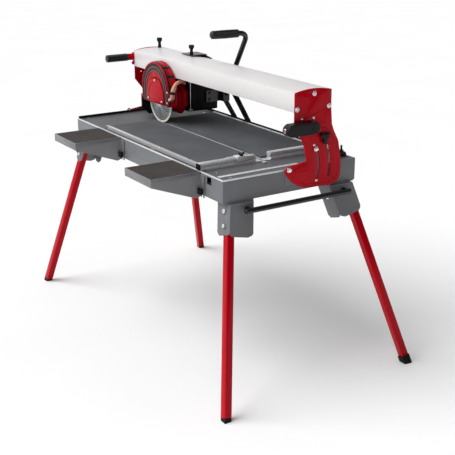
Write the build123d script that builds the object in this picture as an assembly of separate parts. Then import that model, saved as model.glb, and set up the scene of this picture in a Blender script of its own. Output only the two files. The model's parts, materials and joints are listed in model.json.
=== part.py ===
from build123d import *
import os
from math import atan2, cos, degrees, radians, sin, sqrt

# Bridge tile saw on four folding legs. Millimetres, +Z up.
# +X runs along the cut towards the laser end, +Y runs across towards the motor.
# The sub-parts are drawn about the middle of the tub with z = 0 on its rim,
# and place() moves every one of them into the shared frame.

RIM = 808.0             # height of the tub rim above the floor
SHIFT_X = -34.9         # tub middle to the middle of the whole machine
SHIFT_Y = 29.6

# tub
TUB_L = 1220.0
TUB_W = 600.0
TUB_H = 85.0
SHEET = 2.0
FLANGE_TOP = 12.0
FLANGE_BOTTOM = 22.0
HX = TUB_L / 2
HY = TUB_W / 2

# table
DECK_TOP = -2.0
DECK_T = 3.0
TABLE_X0 = -358.0
TABLE_X1 = 458.0
TABLE_Y = 262.0
PLATE_TOP = 1.0
MAT_TOP = 8.0
CUT_Y = -20.0           # blade plane

# tilting bridge, turning about the line Y = CUT_Y, z = 0
TILT = 45.0
RAIL_END = 615.0
RAIL_Y0 = 0.0
RAIL_Y1 = 166.0
RAIL_Z0 = 209.0
RAIL_Z1 = 280.0
RAIL_ARCH = 288.0
CAVITY_Z0 = 214.0
CAVITY_Z1 = 276.0
PLATE_X0 = 615.0        # red end plates
PLATE_X1 = 619.0
PLATE_LOW = 86.0        # how far they reach below the rim
# Y and z of the bolts into the rail's screw ports, and of the screws in the plates
RAIL_BOLTS = ((87.0, 271.0), (10.5, 219.5), (155.5, 219.5))
PLATE_SCREWS = ((33.0, 182.0), (86.0, 182.0), (92.0, 80.0), (107.0, -57.0))
LUG_X0 = 610.0          # upright lugs on the tub ends
LUG_X1 = 614.0
STUD_R = 137.0          # guide stud circle and its angle above the rim
STUD_A = 27.5
LOCK_R = 188.0          # lock knob circle
LOCK_A = 34.0

# cutting head
HEAD_X = -338.0
AXIS_Z = 100.0          # motor and blade axis above the rim
BLADE_R = 100.0
BLADE_T = 2.2
ARBOR_R = 12.7
GUARD_R = 118.0
GUARD_Z = 150.0
GUARD_BOTTOM = 88.0
GUARD_Y0 = -46.0
GUARD_Y1 = -4.0
SWITCH_Y = 210.0        # pin of the rocker switch
SWITCH_Z = 164.0
HANDLE_TUBE_R = 11.0
HANDLE_KNEE = (-41.0, 240.0, 406.0)
HANDLE_TIP = (-46.0, 70.0, 407.0)

# stop rail
STOP_X0 = 428.0
STOP_X1 = 452.0
STOP_TOP = 26.0
STOP_KNOB_X = 446.0     # wing knob of the angle stop
STOP_KNOB_Y = -114.0

# legs
TUBE = 28.0
TUBE_WALL = 1.5
PIVOT_X = 600.0
PIVOT_Y = 267.0
PIVOT_Z = -120.0
FOOT_X_NEAR = 825.0
FOOT_X_FAR = 760.0
FOOT_Y_NEAR = 425.0
FOOT_Y_FAR = 432.0
FAR_STOW = 6.0          # inward angle of the folded far legs

# side tables
SIDE_TABLES = {"far": (-385.0, -175.0), "near": (262.0, 462.0)}
SIDE_TOP = -4.0
SIDE_IN = -302.5
SIDE_OUT = -507.0


def place(shape):
    return Pos(SHIFT_X, SHIFT_Y, RIM) * shape


def save(shape, name):
    export_step(place(shape), "parts/" + name + ".step")


def span(x0, x1, y0, y1, z0, z1):
    centre = Pos((x0 + x1) / 2, (y0 + y1) / 2, (z0 + z1) / 2)
    return centre * Box(x1 - x0, y1 - y0, z1 - z0)


def rod(start, end, radius):
    a = Vector(*start)
    b = Vector(*end)
    line = b - a
    base = Plane(origin=a, z_dir=line)
    return Location(base) * Cylinder(radius, line.length, align=(Align.CENTER, Align.CENTER, Align.MIN))


def along_x(points, x0, x1):
    # flat outline of (Y, z) points, thickened from x0 to x1
    face = make_face(Polyline(*points, close=True))
    return Location(Plane(origin=(x0, 0, 0), x_dir=(0, 1, 0), z_dir=(1, 0, 0))) * extrude(face, x1 - x0)


def along_y(points, y0, y1):
    # flat outline of (X, z) points, thickened from y0 to y1
    face = make_face(Polyline(*points, close=True))
    return Location(Plane(origin=(0, y1, 0), x_dir=(1, 0, 0), z_dir=(0, -1, 0))) * extrude(face, y1 - y0)


def hex_x(y, z, x0, x1, across):
    prism = extrude(RegularPolygon(across / 2, 6, major_radius=False), x1 - x0)
    return Location(Plane(origin=(x0, y, z), x_dir=(0, 1, 0), z_dir=(1, 0, 0))) * prism


def on_circle(radius, angle):
    return (CUT_Y + radius * cos(radians(angle)), radius * sin(radians(angle)))


def group(solids):
    return Compound(children=list(solids))


# ---------------------------------------------------------------- base frame

def lug_outline():
    pivot = [(-32.0, -60.0), (-32.0, 4.0), (-26.0, 9.0), (-14.0, 9.0), (-8.0, 4.0)]
    upright = [(66.0, 4.0), (58.0, 70.0), (96.0, 118.0), (140.0, 122.0), (158.0, 104.0), (160.0, -60.0)]
    return pivot + upright


def tub_frame():
    body = span(-HX, HX, -HY, HY, -TUB_H, 0)
    body -= span(-HX + SHEET, HX - SHEET, -HY + SHEET, HY - SHEET, -TUB_H + SHEET, -SHEET)
    body -= span(-HX + FLANGE_TOP, HX - FLANGE_TOP, -HY + FLANGE_TOP, HY - FLANGE_TOP, -SHEET - 1, 1)
    low = FLANGE_BOTTOM
    body -= span(-HX + low, HX - low, -HY + low, HY - low, -TUB_H - 1, -TUB_H + SHEET + 1)
    # hand windows in both long walls
    for side in (-1, 1):
        body -= span(503, 533, side * HY - 3, side * HY + 3, -36, -8)
    # welded cross bearers carry the table and the decks
    top = DECK_TOP - DECK_T
    for x in (-360.0, 50.0, 460.0):
        bearer = span(x - 15, x + 15, -HY + SHEET, HY - SHEET, top - 20, top)
        bearer -= span(x - 13, x + 13, -HY + SHEET, HY - SHEET, top - 18, top - 2)
        body += bearer
    # welded lugs for the tilting bridge
    stud = on_circle(STUD_R, STUD_A)
    lock = on_circle(LOCK_R, LOCK_A)
    for end in (-1, 1):
        x0 = LUG_X0 if end > 0 else -LUG_X1
        lug = along_x(lug_outline(), x0, x0 + 4)
        body += lug
    for end in (-1, 1):
        x0 = (LUG_X0 - 8) * end
        x1 = (LUG_X1 + 4) * end
        body -= rod((x0, CUT_Y, 0), (x1, CUT_Y, 0), 5.0)
        body -= rod((x0, stud[0], stud[1]), (x1, stud[0], stud[1]), 4.0)
        body -= rod((x0, lock[0], lock[1]), (x1, lock[0], lock[1]), 4.06)
    return body


def water_tray():
    x = HX - 5
    y = HY - 5
    z0 = -TUB_H + SHEET
    tray = span(-x, x, -y, y, z0, -30)
    tray -= span(-x + 1.5, x - 1.5, -y + 1.5, y - 1.5, z0 + 1.5, 0)
    tray -= rod((-500, 0, z0 - 1), (-500, 0, z0 + 5), 9.0)
    return tray


def drain_plug():
    z0 = -TUB_H + SHEET
    plug = rod((-500, 0, z0 - 9), (-500, 0, z0), 15.0)
    plug += rod((-500, 0, z0), (-500, 0, z0 + 8), 9.0)
    plug += span(-512, -488, -2, 2, z0 - 16, z0 - 9)
    return plug


def table_plate():
    y = TABLE_Y + 12
    plate = span(TABLE_X0, TABLE_X1, -y, y, DECK_TOP, PLATE_TOP)
    low = DECK_TOP - DECK_T
    for side in (-1, 1):
        a = side * (y - 3)
        b = side * y
        plate += span(TABLE_X0, TABLE_X1, min(a, b), max(a, b), low, DECK_TOP)
        # raised aluminium edge along each side of the table
        c = side * TABLE_Y
        plate += span(TABLE_X0, TABLE_X1 - 34, min(c, b), max(c, b), PLATE_TOP, MAT_TOP + 2)
    plate += span(TABLE_X0, TABLE_X0 + 3, -y, y, low, DECK_TOP)
    plate += span(TABLE_X1 - 3, TABLE_X1, -y, y, low, DECK_TOP)
    # slot under the blade
    plate -= span(TABLE_X0 - 1, TABLE_X1 - 4, CUT_Y - 5, CUT_Y + 3, low - 1, MAT_TOP)
    return plate


def table_mats():
    x1 = TABLE_X1 - 34
    left = span(TABLE_X0, x1, -TABLE_Y, CUT_Y - 14, PLATE_TOP, MAT_TOP)
    right = span(TABLE_X0, x1, CUT_Y + 10, TABLE_Y, PLATE_TOP, MAT_TOP)
    return group([left, right])


def decks():
    y = HY - SHEET - 1
    low = DECK_TOP - DECK_T
    far = span(-HX + SHEET + 0.5, TABLE_X0 - 3, -y, y, low, DECK_TOP)
    near = span(TABLE_X1 + 3, HX - SHEET - 0.5, -y, y, low, DECK_TOP)
    near -= rod((483, -36, low - 1), (483, -36, 1), 4.0)
    return group([far, near])


def splash_lip():
    # black rubber lip standing on the far and the motor-side rim
    far = span(-608, -602, -296, 296, 0, 10)
    side = span(-602, 562, 290, 296, 0, 10)
    side -= span(STOP_X0 - 4, STOP_X1 + 10, 288, 298, -1, 11)
    return group((far + side).solids())


def stop_rail():
    bars = []
    for y0, y1 in ((-298.0, -54.0), (14.0, 298.0)):
        low = PLATE_TOP
        bar = span(STOP_X0, STOP_X1, y0, y1, low, STOP_TOP)
        bar += span(STOP_X0, STOP_X1 + 5, y0, y1, low, low + 5)
        # groove in the top and in the back of the extrusion
        bar -= span(STOP_X1 - 9, STOP_X1 - 5, y0, y1, STOP_TOP - 3, STOP_TOP + 1)
        bar -= span(STOP_X1 - 4, STOP_X1, y0, y1, low + 8, low + 14)
        bars.append(bar)
    return group(bars)


def stop_rail_clamps():
    end = span(430, 457, -301.5, -298, 2, 24)
    block = span(538, 566, 268, 288, DECK_TOP, 16)
    block += rod((552, 278, 16), (552, 278, 40), 4.0)
    block += rod((552, 278, 16), (552, 278, 22), 9.0)
    return group([end, block])


def tilt_bolts():
    stud = on_circle(STUD_R, STUD_A)
    solids = []
    for end in (-1, 1):
        pivot = rod((end * LUG_X0, CUT_Y, 0), (end * (PLATE_X1 + 1.5), CUT_Y, 0), 5.0)
        head = rod((end * (PLATE_X1 + 0.5), CUT_Y, 0), (end * (PLATE_X1 + 2), CUT_Y, 0), 9.0)
        x0 = min(end * (PLATE_X1 + 2), end * (PLATE_X1 + 8))
        solids.append(pivot + head + hex_x(CUT_Y, 0, x0, x0 + 6, 14))
        y, z = stud
        shank = rod((end * LUG_X0, y, z), (end * (PLATE_X1 + 1.5), y, z), 4.0)
        washer = rod((end * (PLATE_X1 + 0.5), y, z), (end * (PLATE_X1 + 2), y, z), 9.0)
        solids.append(shank + washer + hex_x(y, z, x0, x0 + 6, 12))
    return group(solids)


def carry_bar(brackets):
    x = 648.0
    z = -114.0
    ends = (-222.0, 246.0)
    bar = rod((x, ends[0], z), (x, ends[1], z), 10.0)
    for y, inward in zip(ends, (14, -14)):
        bar += rod((605, y + inward, z), (x, y + inward, z), 11.0)
        bar += Pos(x, y, z) * Sphere(10.0)
    # what the brackets cut off is dropped
    return max((bar - brackets).solids(), key=lambda solid: solid.volume)


def hose_stand():
    # two flat bars bolted to the outside of the motor-side wall, joined at the top
    y0 = HY
    y1 = HY + 5
    stand = span(-415, -232, y0, y1, 122, 140)
    for foot, top in ((-224.0, -386.0), (-115.0, -256.0)):
        lean = [(foot - 22, -4), (foot + 22, -4), (top + 20, 130), (top - 28, 130)]
        stand += along_y(lean, y0, y1)
        stand += span(foot - 22, foot + 22, y0, y1, -62, -4)
    stand += span(-330, -310, y0 - 14, y0, 124, 138)
    stand -= rod((-320, y0 - 9, 120), (-320, y0 - 9, 142), 3.5)
    stand -= span(-322.5, -317.5, y0 - 15, y0 - 9, 120, 142)
    return stand


def cooling_pump():
    z0 = -TUB_H + SHEET + 1.5
    pump = rod((520, 210, z0), (520, 210, z0 + 36), 34.0)
    pump += rod((520, 210, z0 + 36), (520, 210, z0 + 44), 26.0)
    pump += rod((520, 200, z0 + 24), (520, 160, z0 + 24), 6.0)
    pump = fillet(pump.edges().filter_by(GeomType.CIRCLE).group_by(Axis.Z)[-1], 3)
    return pump


# ---------------------------------------------------------------- legs

def leg_geometry(end, side):
    """Pivot, leg direction, hinge axis, length and outer side of one leg."""
    foot_x = FOOT_X_NEAR if end > 0 else -FOOT_X_FAR
    foot_y = FOOT_Y_NEAR if end > 0 else FOOT_Y_FAR
    pivot = Vector(end * PIVOT_X, side * PIVOT_Y, PIVOT_Z)
    foot = Vector(foot_x, side * foot_y, -RIM)
    line = foot - pivot
    length = line.length
    down = line.normalized()
    stow = Vector(-1, 0, 0)
    if end < 0:
        stow = Vector(cos(radians(FAR_STOW)), -side * sin(radians(FAR_STOW)), 0)
    axis = down.cross(stow).normalized()
    outer = 1 if axis.Y * side > 0 else -1
    return pivot, down, axis, length, outer


def leg_frame(end, side):
    pivot, down, axis = leg_geometry(end, side)[:3]
    out = down.cross(axis)
    return Location(Plane(origin=pivot, x_dir=out, z_dir=-down))


def leg_tube(end, side):
    length = leg_geometry(end, side)[3]
    h = TUBE / 2
    i = h - TUBE_WALL
    cut = length - 12
    turn = Rot(90, 0, 0)
    tube = span(-h, h, -h, h, -cut, 0) + turn * Cylinder(h, TUBE)
    tube -= span(-i, i, -i, i, -cut - 1, 0) + turn * Cylinder(i, 2 * i)
    tube -= turn * Cylinder(5.05, TUBE + 2)
    return leg_frame(end, side) * tube


def leg_foot(end, side):
    length = leg_geometry(end, side)[3]
    h = TUBE / 2
    i = h - TUBE_WALL
    cut = length - 12
    if end > 0 and side > 0:
        # levelling boot on one leg
        boot = span(-h - 4, h + 4, -h - 4, h + 4, -length - 30, -cut + 18)
        boot = fillet(boot.edges().filter_by(Axis.Z), 5)
        boot -= span(-h, h, -h, h, -cut, -cut + 40)
    else:
        boot = span(-h, h, -h, h, -length - 30, -cut)
        boot += span(-i, i, -i, i, -cut, -cut + 22)
    boot = leg_frame(end, side) * boot
    floor = Pos(0, 0, -RIM - 60) * Box(4000, 4000, 120)
    return boot - floor


def wheel_place(side):
    return Vector(-697.0, side * 245.0, -142.0)


def leg_bracket(end, side):
    o = leg_geometry(end, side)[4]
    low = -92.0
    web_outline = [(o * 18.5, 62), (o * 18.5, low + 16), (o * 12, low + 4), (o * 2, low)]
    web_outline += [(-o * 62, low), (-o * 78, low + 8), (-o * 85, low + 24), (-o * 85, 62)]
    face = make_face(Polyline(*web_outline, close=True))
    # the near brackets are deeper than the far ones, which stay clear of the wheels
    back, front = (-46, 32) if end > 0 else (-24, 20)
    web = Location(Plane(origin=(front - 3, 0, 0), x_dir=(0, 1, 0), z_dir=(1, 0, 0))) * extrude(face, 3)
    flange_outline = [(front, 62), (front, low + 14), (front - 12, low + 6), (back + 12, low + 6)]
    flange_outline += [(back, low + 20), (back, 62)]
    bracket = web
    for y in (o * 15.5, -o * 82.0):
        y1 = y + o * 3 if y * o > 0 else y - o * 3
        flange = along_y(flange_outline, min(y, y1), max(y, y1))
        bracket += flange
    turn = Rot(90, 0, 0)
    bracket -= turn * Cylinder(5.0, 260)
    screw = Pos(0, o * 20, -52) * (turn * Cylinder(4.0, 16))
    bracket -= screw
    bracket = leg_frame(end, side) * bracket
    bracket -= span(-2000, 2000, -2000, 2000, -TUB_H, 400)
    # outside the tub the bracket stays below the swinging end plate
    x_clear = end * (HX + 2)
    bracket -= span(min(x_clear, end * 800), max(x_clear, end * 800), -2000, 2000, -PLATE_LOW - 3, 400)
    # foot plate under the tub
    y_in = side * 170
    y_out = side * 292
    x_in = end * 556
    x_out = end * 612
    top = span(min(x_in, x_out), max(x_in, x_out), min(y_in, y_out), max(y_in, y_out), -TUB_H - 3, -TUB_H)
    bracket += top
    if end > 0:
        # a step outwards and down joins it to the deeper web
        y_step = side * 183
        y_end = side * 278
        step = span(600, 612, min(y_step, y_end), max(y_step, y_end), -92, -TUB_H)
        step += span(612, 626, min(y_step, y_end), max(y_step, y_end), -92, -PLATE_LOW - 3)
        bracket += step
    if end < 0:
        # two cheeks carry the transport wheel outside the far brackets
        centre = wheel_place(side)
        for dy in (-24.0, 20.0):
            cheek = [(-612, -93), (-640, -93), (centre.X - 10, centre.Z + 12)]
            cheek += [(centre.X - 14, centre.Z), (centre.X - 8, centre.Z - 12), (centre.X + 6, centre.Z - 14)]
            cheek += [(-634.5, -186)]
            y0 = centre.Y + dy
            bracket += along_y(cheek, y0, y0 + 4)
        bracket -= rod((centre.X, centre.Y - 40, centre.Z), (centre.X, centre.Y + 40, centre.Z), 5.0)
    return bracket


def frame_bolts():
    solids = []
    for end in (-1, 1):
        for side in (-1, 1):
            o = leg_geometry(end, side)[4]
            place_leg = leg_frame(end, side)
            shaft = rod((0, o * 18.5, 0), (0, -o * 92, 0), 5.0)
            shaft += rod((0, o * 18.5, 0), (0, o * 25, 0), 8.5)
            shaft += rod((0, -o * 85, 0), (0, -o * 92, 0), 8.5)
            shaft += rod((0, -o * 14.6, 0), (0, -o * 82, 0), 8.0)
            solids.append(place_leg * shaft)
            screw = rod((0, o * 14.5, -52), (0, o * 20, -52), 4.0)
            screw += rod((0, o * 18.5, -52), (0, o * 26, -52), 7.5)
            solids.append(place_leg * screw)
    for side in (-1, 1):
        c = wheel_place(side)
        bolt = rod((c.X, c.Y - 28, c.Z), (c.X, c.Y + 28, c.Z), 5.0)
        bolt += rod((c.X, c.Y - 28, c.Z), (c.X, c.Y - 24, c.Z), 8.5)
        bolt += rod((c.X, c.Y + 24, c.Z), (c.X, c.Y + 28, c.Z), 8.5)
        solids.append(bolt)
    for x in (-588.0, -400.0, 500.0, 588.0):
        for y in (-255.0, 240.0):
            solids.append(rod((x, y, DECK_TOP), (x, y, DECK_TOP + 3), 6.0))
    solids.append(rod((483, -36, DECK_TOP), (483, -36, 4), 9.0) + rod((483, -36, -7.5), (483, -36, DECK_TOP), 4.0))
    return group(solids)


def wheel(side):
    c = wheel_place(side)
    tyre = rod((c.X, c.Y - 17, c.Z), (c.X, c.Y + 17, c.Z), 60.0)
    tyre = fillet(tyre.edges().filter_by(GeomType.CIRCLE), 5)
    tyre -= rod((c.X, c.Y - 20, c.Z), (c.X, c.Y - 9, c.Z), 42.0)
    tyre -= rod((c.X, c.Y + 9, c.Z), (c.X, c.Y + 20, c.Z), 42.0)
    tyre += rod((c.X, c.Y - 19, c.Z), (c.X, c.Y + 19, c.Z), 13.0)
    tyre -= rod((c.X, c.Y - 30, c.Z), (c.X, c.Y + 30, c.Z), 5.06)
    return tyre


# ---------------------------------------------------------------- bridge

def rail_section():
    top = ThreePointArc((RAIL_Y0, RAIL_Z1), ((RAIL_Y0 + RAIL_Y1) / 2, RAIL_ARCH), (RAIL_Y1, RAIL_Z1))
    sides = Polyline((RAIL_Y1, RAIL_Z1), (RAIL_Y1, RAIL_Z0), (RAIL_Y0, RAIL_Z0), (RAIL_Y0, RAIL_Z1))
    return make_face([top, sides])


def guide_rail():
    solid = extrude(rail_section(), 2 * RAIL_END)
    rail = Location(Plane(origin=(-RAIL_END, 0, 0), x_dir=(0, 1, 0), z_dir=(1, 0, 0))) * solid
    rail -= span(-RAIL_END - 1, RAIL_END + 1, 5, 161, CAVITY_Z0, CAVITY_Z1)
    rail -= span(-RAIL_END - 1, RAIL_END + 1, 160, 170, 232, 262)
    for y, z in RAIL_BOLTS:
        rail += rod((-RAIL_END, y, z), (RAIL_END, y, z), 7.0)
    for y, z in RAIL_BOLTS:
        for end in (-1, 1):
            rail -= rod((end * (RAIL_END - 24), y, z), (end * (RAIL_END + 1), y, z), 3.0)
    rail -= rod((-592, 120, 270), (-592, 120, 300), 4.06)
    return rail


def plate_outline():
    upper = [(0, 280), (0, 150), (18, 128), (34, 108), (48, 76), (60, 22)]
    lobe = [(-22, 12), (-34, 6), (-37, -8), (-28, -24), (-4, -50), (24, -68), (54, -78)]
    lower = [(178, -PLATE_LOW), (206, -76), (219, -58), (222, -20), (219, 24), (206, 82), (184, 122), (173, 150)]
    return upper + lobe + lower + [(167, 212), (166, 280)]


def arc_slot(radius, a0, a1, half):
    """Curved slot about the tilt axis, as a face in the (Y, z) plane."""
    points_out = []
    points_in = []
    steps = 14
    for i in range(steps + 1):
        a = a0 + (a1 - a0) * i / steps
        points_out.append(on_circle(radius + half, a))
        points_in.append(on_circle(radius - half, a))
    outer = Spline(*points_out)
    inner = Spline(*points_in)
    cap0 = Line(points_out[0], points_in[0])
    cap1 = Line(points_out[-1], points_in[-1])
    return make_face([outer, cap1, inner, cap0])


def end_plate(end):
    x0 = PLATE_X0 if end > 0 else -PLATE_X1
    outline = Polyline(*plate_outline())
    arch = ThreePointArc((166, 280), (83, 290), (0, 280))
    plane = Location(Plane(origin=(x0, 0, 0), x_dir=(0, 1, 0), z_dir=(1, 0, 0)))
    plate = extrude(make_face([outline, arch]), PLATE_X1 - PLATE_X0)
    slack = 2.6
    for radius, angle, half in ((STUD_R, STUD_A, 4.5), (LOCK_R, LOCK_A, 4.5)):
        slot = extrude(arc_slot(radius, angle - TILT - slack, angle + slack, half), 10)
        plate -= Pos(0, 0, -3) * slot
    plate = plane * plate
    plate -= rod((x0 - 2, CUT_Y, 0), (x0 + 6, CUT_Y, 0), 5.05)
    for y, z in RAIL_BOLTS + PLATE_SCREWS:
        plate -= rod((x0 - 2, y, z), (x0 + 6, y, z), 3.0)
    if end < 0:
        lug = span(-646, -PLATE_X1, 2, 28, 232, 268)
        lug += rod((-633, -28, 250), (-633, 4, 250), 15.0)
        plate += lug
        plate -= rod((-633, -60, 250), (-633, -10, 250), 6.0)
    return plate


def end_plate_bolts():
    solids = []
    for end in (-1, 1):
        face = end * PLATE_X1
        for y, z in RAIL_BOLTS:
            bolt = rod((end * (RAIL_END - 22), y, z), (end * (PLATE_X1 + 2), y, z), 3.0)
            bolt += rod((face, y, z), (end * (PLATE_X1 + 6), y, z), 7.5)
            solids.append(bolt)
        for y, z in PLATE_SCREWS:
            screw = rod((end * PLATE_X0, y, z), (end * (PLATE_X1 + 2), y, z), 3.0)
            screw += rod((face, y, z), (end * (PLATE_X1 + 4), y, z), 5.0)
            solids.append(screw)
    return group(solids)


def laser_housing():
    x0 = PLATE_X1
    x1 = x0 + 37
    z = 151.5
    half = 22.5
    body = span(x0, x1, -30, 70, z - half, z + half)
    body += rod((x0, -30, z), (x1, -30, z), half)
    body += rod((x0, 70, z), (x1, 70, z), half)
    outer = body.edges().group_by(Axis.X)[-1]
    body = fillet(outer, 3)
    # battery space, and the beam window that looks back along the cut
    body -= span(x0 + 6, x1 - 4, 20, 66, z - 14, z + 14)
    body -= rod((x0 - 1, CUT_Y, z), (x0 + 6, CUT_Y, z), 7.0)
    return body


def rear_grip():
    grip = rod((-633, -134, 250), (-633, -28, 250), 17.0)
    grip = fillet(grip.edges().filter_by(GeomType.CIRCLE).group_by(Axis.Y)[0], 4)
    for i in range(7):
        y = -124 + 14 * i
        ring = rod((-633, y, 250), (-633, y + 3, 250), 20.0) - rod((-633, y - 1, 250), (-633, y + 4, 250), 16.0)
        grip -= ring
    grip += rod((-633, -40, 250), (-633, -10, 250), 6.0)
    return grip


def wing_knob(end):
    y, z = on_circle(LOCK_R, LOCK_A)
    x = end * (PLATE_X1 + 1)
    knob = rod((x, y, z), (x + end * 12, y, z), 11.0)
    knob += rod((end * (LUG_X0 + 0.5), y, z), (x, y, z), 4.0)
    for a in (20.0, 140.0, 260.0):
        dy = 19 * cos(radians(a))
        dz = 19 * sin(radians(a))
        knob += rod((x + end * 4, y + dy, z + dz), (x + end * 15, y + dy, z + dz), 7.0)
        arm = Pos(x + end * 9.5, y + dy / 2, z + dz / 2) * (Rot(a, 0, 0) * Box(11, 19, 11))
        knob += arm
    return knob


def waisted_knob(x, y, z0, z1, tip):
    grip = Pos(x, y, z1 - 22) * Cone(6.5, 12.5, 22, align=(Align.CENTER, Align.CENTER, Align.MIN))
    grip += Pos(x, y, z0) * Cone(9.5, 6.5, z1 - 22 - z0, align=(Align.CENTER, Align.CENTER, Align.MIN))
    grip = fillet(grip.edges().group_by(Axis.Z)[-1], 1.5)
    grip += rod((x, y, tip), (x, y, z0), 4.0)
    return grip


# ---------------------------------------------------------------- cutting head

def carriage():
    x0 = HEAD_X - 90
    x1 = HEAD_X + 90
    side = along_y([(x0, 196), (x1, 196), (x1, 270), (-214, 281), (-300, 294), (-352, 294), (x0, 270)], 170, 175)
    side += span(x0, x1, 20, 175, 196, 202)
    side += span(-352, -262, 96, 175, 291, 294)
    side += span(HEAD_X - 62, HEAD_X + 62, 90, 170, 190, 196)
    for x in (HEAD_X - 45, HEAD_X + 45):
        side += span(x - 18, x + 18, 118, 170, 238, 256)
    side -= rod((-298, 117, 280), (-298, 117, 300), 4.06)
    return side


def carriage_shoes():
    shoes = []
    for x in (HEAD_X - 45, HEAD_X + 45):
        shoe = span(x - 26, x + 26, 104, 148, CAVITY_Z0 + 0.08, CAVITY_Z1 - 0.08)
        shoe -= span(x - 18, x + 18, 118, 160, 238, 256)
        shoes.append(shoe)
    return group(shoes)


def motor_flange():
    cx = HEAD_X
    cz = 108.0
    r = 84.0
    oct_points = []
    for i in range(8):
        a = radians(22.5 + 45 * i)
        oct_points.append((cx + r * cos(a), cz + 0.94 * r * sin(a)))
    flange = along_y(oct_points, 50, 72)
    flange = chamfer(flange.edges().group_by(Axis.Y)[0], 6)
    neck = Location(Plane(origin=(cx, 50, AXIS_Z), z_dir=(0, -1, 0))) * Cone(
        62, 46, 54, align=(Align.CENTER, Align.CENTER, Align.MIN)
    )
    flange += neck
    flange -= rod((cx, GUARD_Y1 - 1, AXIS_Z), (cx, 50, AXIS_Z), 14.0)
    flange -= rod((cx, 50, AXIS_Z), (cx, 73, AXIS_Z), 20.0)
    return flange


def motor_housing():
    x0 = -430.0
    x1 = -238.0
    z0 = 52.0
    z1 = 190.0
    shell = span(x0, x1, 72, 212, z0, z1)
    shell = fillet(shell.edges().filter_by(Axis.Y), 10)
    shell -= span(x0 + 4, x1 - 4, 76, 208, z0 + 4, z1 - 4)
    # sleeve that holds the stator, with four webs
    sleeve = rod((HEAD_X, 76, AXIS_Z), (HEAD_X, 208, AXIS_Z), 46.0)
    webs = span(x0 + 2, x1 - 2, 120, 124, z0 + 2, z1 - 2) + span(x0 + 2, x1 - 2, 164, 168, z0 + 2, z1 - 2)
    shell += sleeve
    shell += webs
    shell -= rod((HEAD_X, 75, AXIS_Z), (HEAD_X, 208, AXIS_Z), 42.0)
    shell -= rod((HEAD_X, 70, AXIS_Z), (HEAD_X, 77, AXIS_Z), 20.0)
    shell -= rod((HEAD_X, 207, AXIS_Z), (HEAD_X, 213, AXIS_Z), 20.0)
    # cooling slots low on both ends of the shell
    for i in range(6):
        x = HEAD_X - 50 + 20 * i
        shell -= span(x - 3, x + 3, 130, 158, z0 - 1, z0 + 5)
    # opening for the switch, with the two holes of its pin
    shell -= span(-424, -396, 207, 213, 148, 180)
    shell -= rod((-426.5, SWITCH_Y, SWITCH_Z), (-393.5, SWITCH_Y, SWITCH_Z), 1.55)
    return shell


def stator():
    core = rod((HEAD_X, 98, AXIS_Z), (HEAD_X, 182, AXIS_Z), 42.0)
    core += rod((HEAD_X, 86, AXIS_Z), (HEAD_X, 194, AXIS_Z), 38.0)
    core -= rod((HEAD_X, 80, AXIS_Z), (HEAD_X, 200, AXIS_Z), 26.6)
    return core


def motor_bearings():
    rings = []
    for y0, y1 in ((60.0, 72.0), (208.0, 220.0)):
        ring = rod((HEAD_X, y0, AXIS_Z), (HEAD_X, y1, AXIS_Z), 20.0)
        ring -= rod((HEAD_X, y0 - 1, AXIS_Z), (HEAD_X, y1 + 1, AXIS_Z), 8.55)
        groove = rod((HEAD_X, y0, AXIS_Z), (HEAD_X, y0 + 1, AXIS_Z), 16.0)
        groove -= rod((HEAD_X, y0, AXIS_Z), (HEAD_X, y0 + 1, AXIS_Z), 12.0)
        rings.append(ring - groove)
    return group(rings)


def motor_end_cap():
    cap = Location(Plane(origin=(HEAD_X, 212, AXIS_Z), z_dir=(0, 1, 0))) * Cone(
        52, 30, 31, align=(Align.CENTER, Align.CENTER, Align.MIN)
    )
    hollow = Location(Plane(origin=(HEAD_X, 220, AXIS_Z), z_dir=(0, 1, 0))) * Cone(
        42, 27, 19, align=(Align.CENTER, Align.CENTER, Align.MIN)
    )
    cap -= hollow
    cap -= rod((HEAD_X, 211, AXIS_Z), (HEAD_X, 221, AXIS_Z), 20.0)
    for i in range(8):
        a = radians(45 * i + 22.5)
        p = (HEAD_X + 17 * cos(a), AXIS_Z + 17 * sin(a))
        cap -= rod((p[0], 238, p[1]), (p[0], 245, p[1]), 3.5)
    return cap


def switch_rocker():
    # rocker that turns about a pin along X
    rocker = span(-422, -398, 205, 214, 152, 176)
    wedge = along_x([(212, 151), (217, 152), (214.5, 164), (217, 176), (212, 177)], -422, -398)
    rocker += wedge
    rocker += rod((-426, SWITCH_Y, SWITCH_Z), (-394, SWITCH_Y, SWITCH_Z), 1.5)
    return rocker


def guard_outline(radius, bottom):
    left = Line((HEAD_X - radius, bottom), (HEAD_X - radius, GUARD_Z))
    arch = ThreePointArc((HEAD_X - radius, GUARD_Z), (HEAD_X, GUARD_Z + radius), (HEAD_X + radius, GUARD_Z))
    right = Line((HEAD_X + radius, GUARD_Z), (HEAD_X + radius, bottom))
    base = Line((HEAD_X + radius, bottom), (HEAD_X - radius, bottom))
    return make_face([left, arch, right, base])


def blade_guard():
    plane = Location(Plane(origin=(0, GUARD_Y1, 0), x_dir=(1, 0, 0), z_dir=(0, -1, 0)))
    shell = plane * extrude(guard_outline(GUARD_R, GUARD_BOTTOM), GUARD_Y1 - GUARD_Y0)
    inner_plane = Location(Plane(origin=(0, GUARD_Y1 - 3, 0), x_dir=(1, 0, 0), z_dir=(0, -1, 0)))
    hollow = inner_plane * extrude(guard_outline(GUARD_R - 3, GUARD_BOTTOM - 5), GUARD_Y1 - GUARD_Y0 - 6)
    shell -= hollow
    shell -= rod((HEAD_X, GUARD_Y1 - 4, AXIS_Z), (HEAD_X, GUARD_Y1 + 1, AXIS_Z), 20.0)
    # service opening behind the front cover
    shell -= rod((HEAD_X, GUARD_Y0 - 1, 130), (HEAD_X, GUARD_Y0 + 4, 130), 36.0)
    return shell


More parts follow.
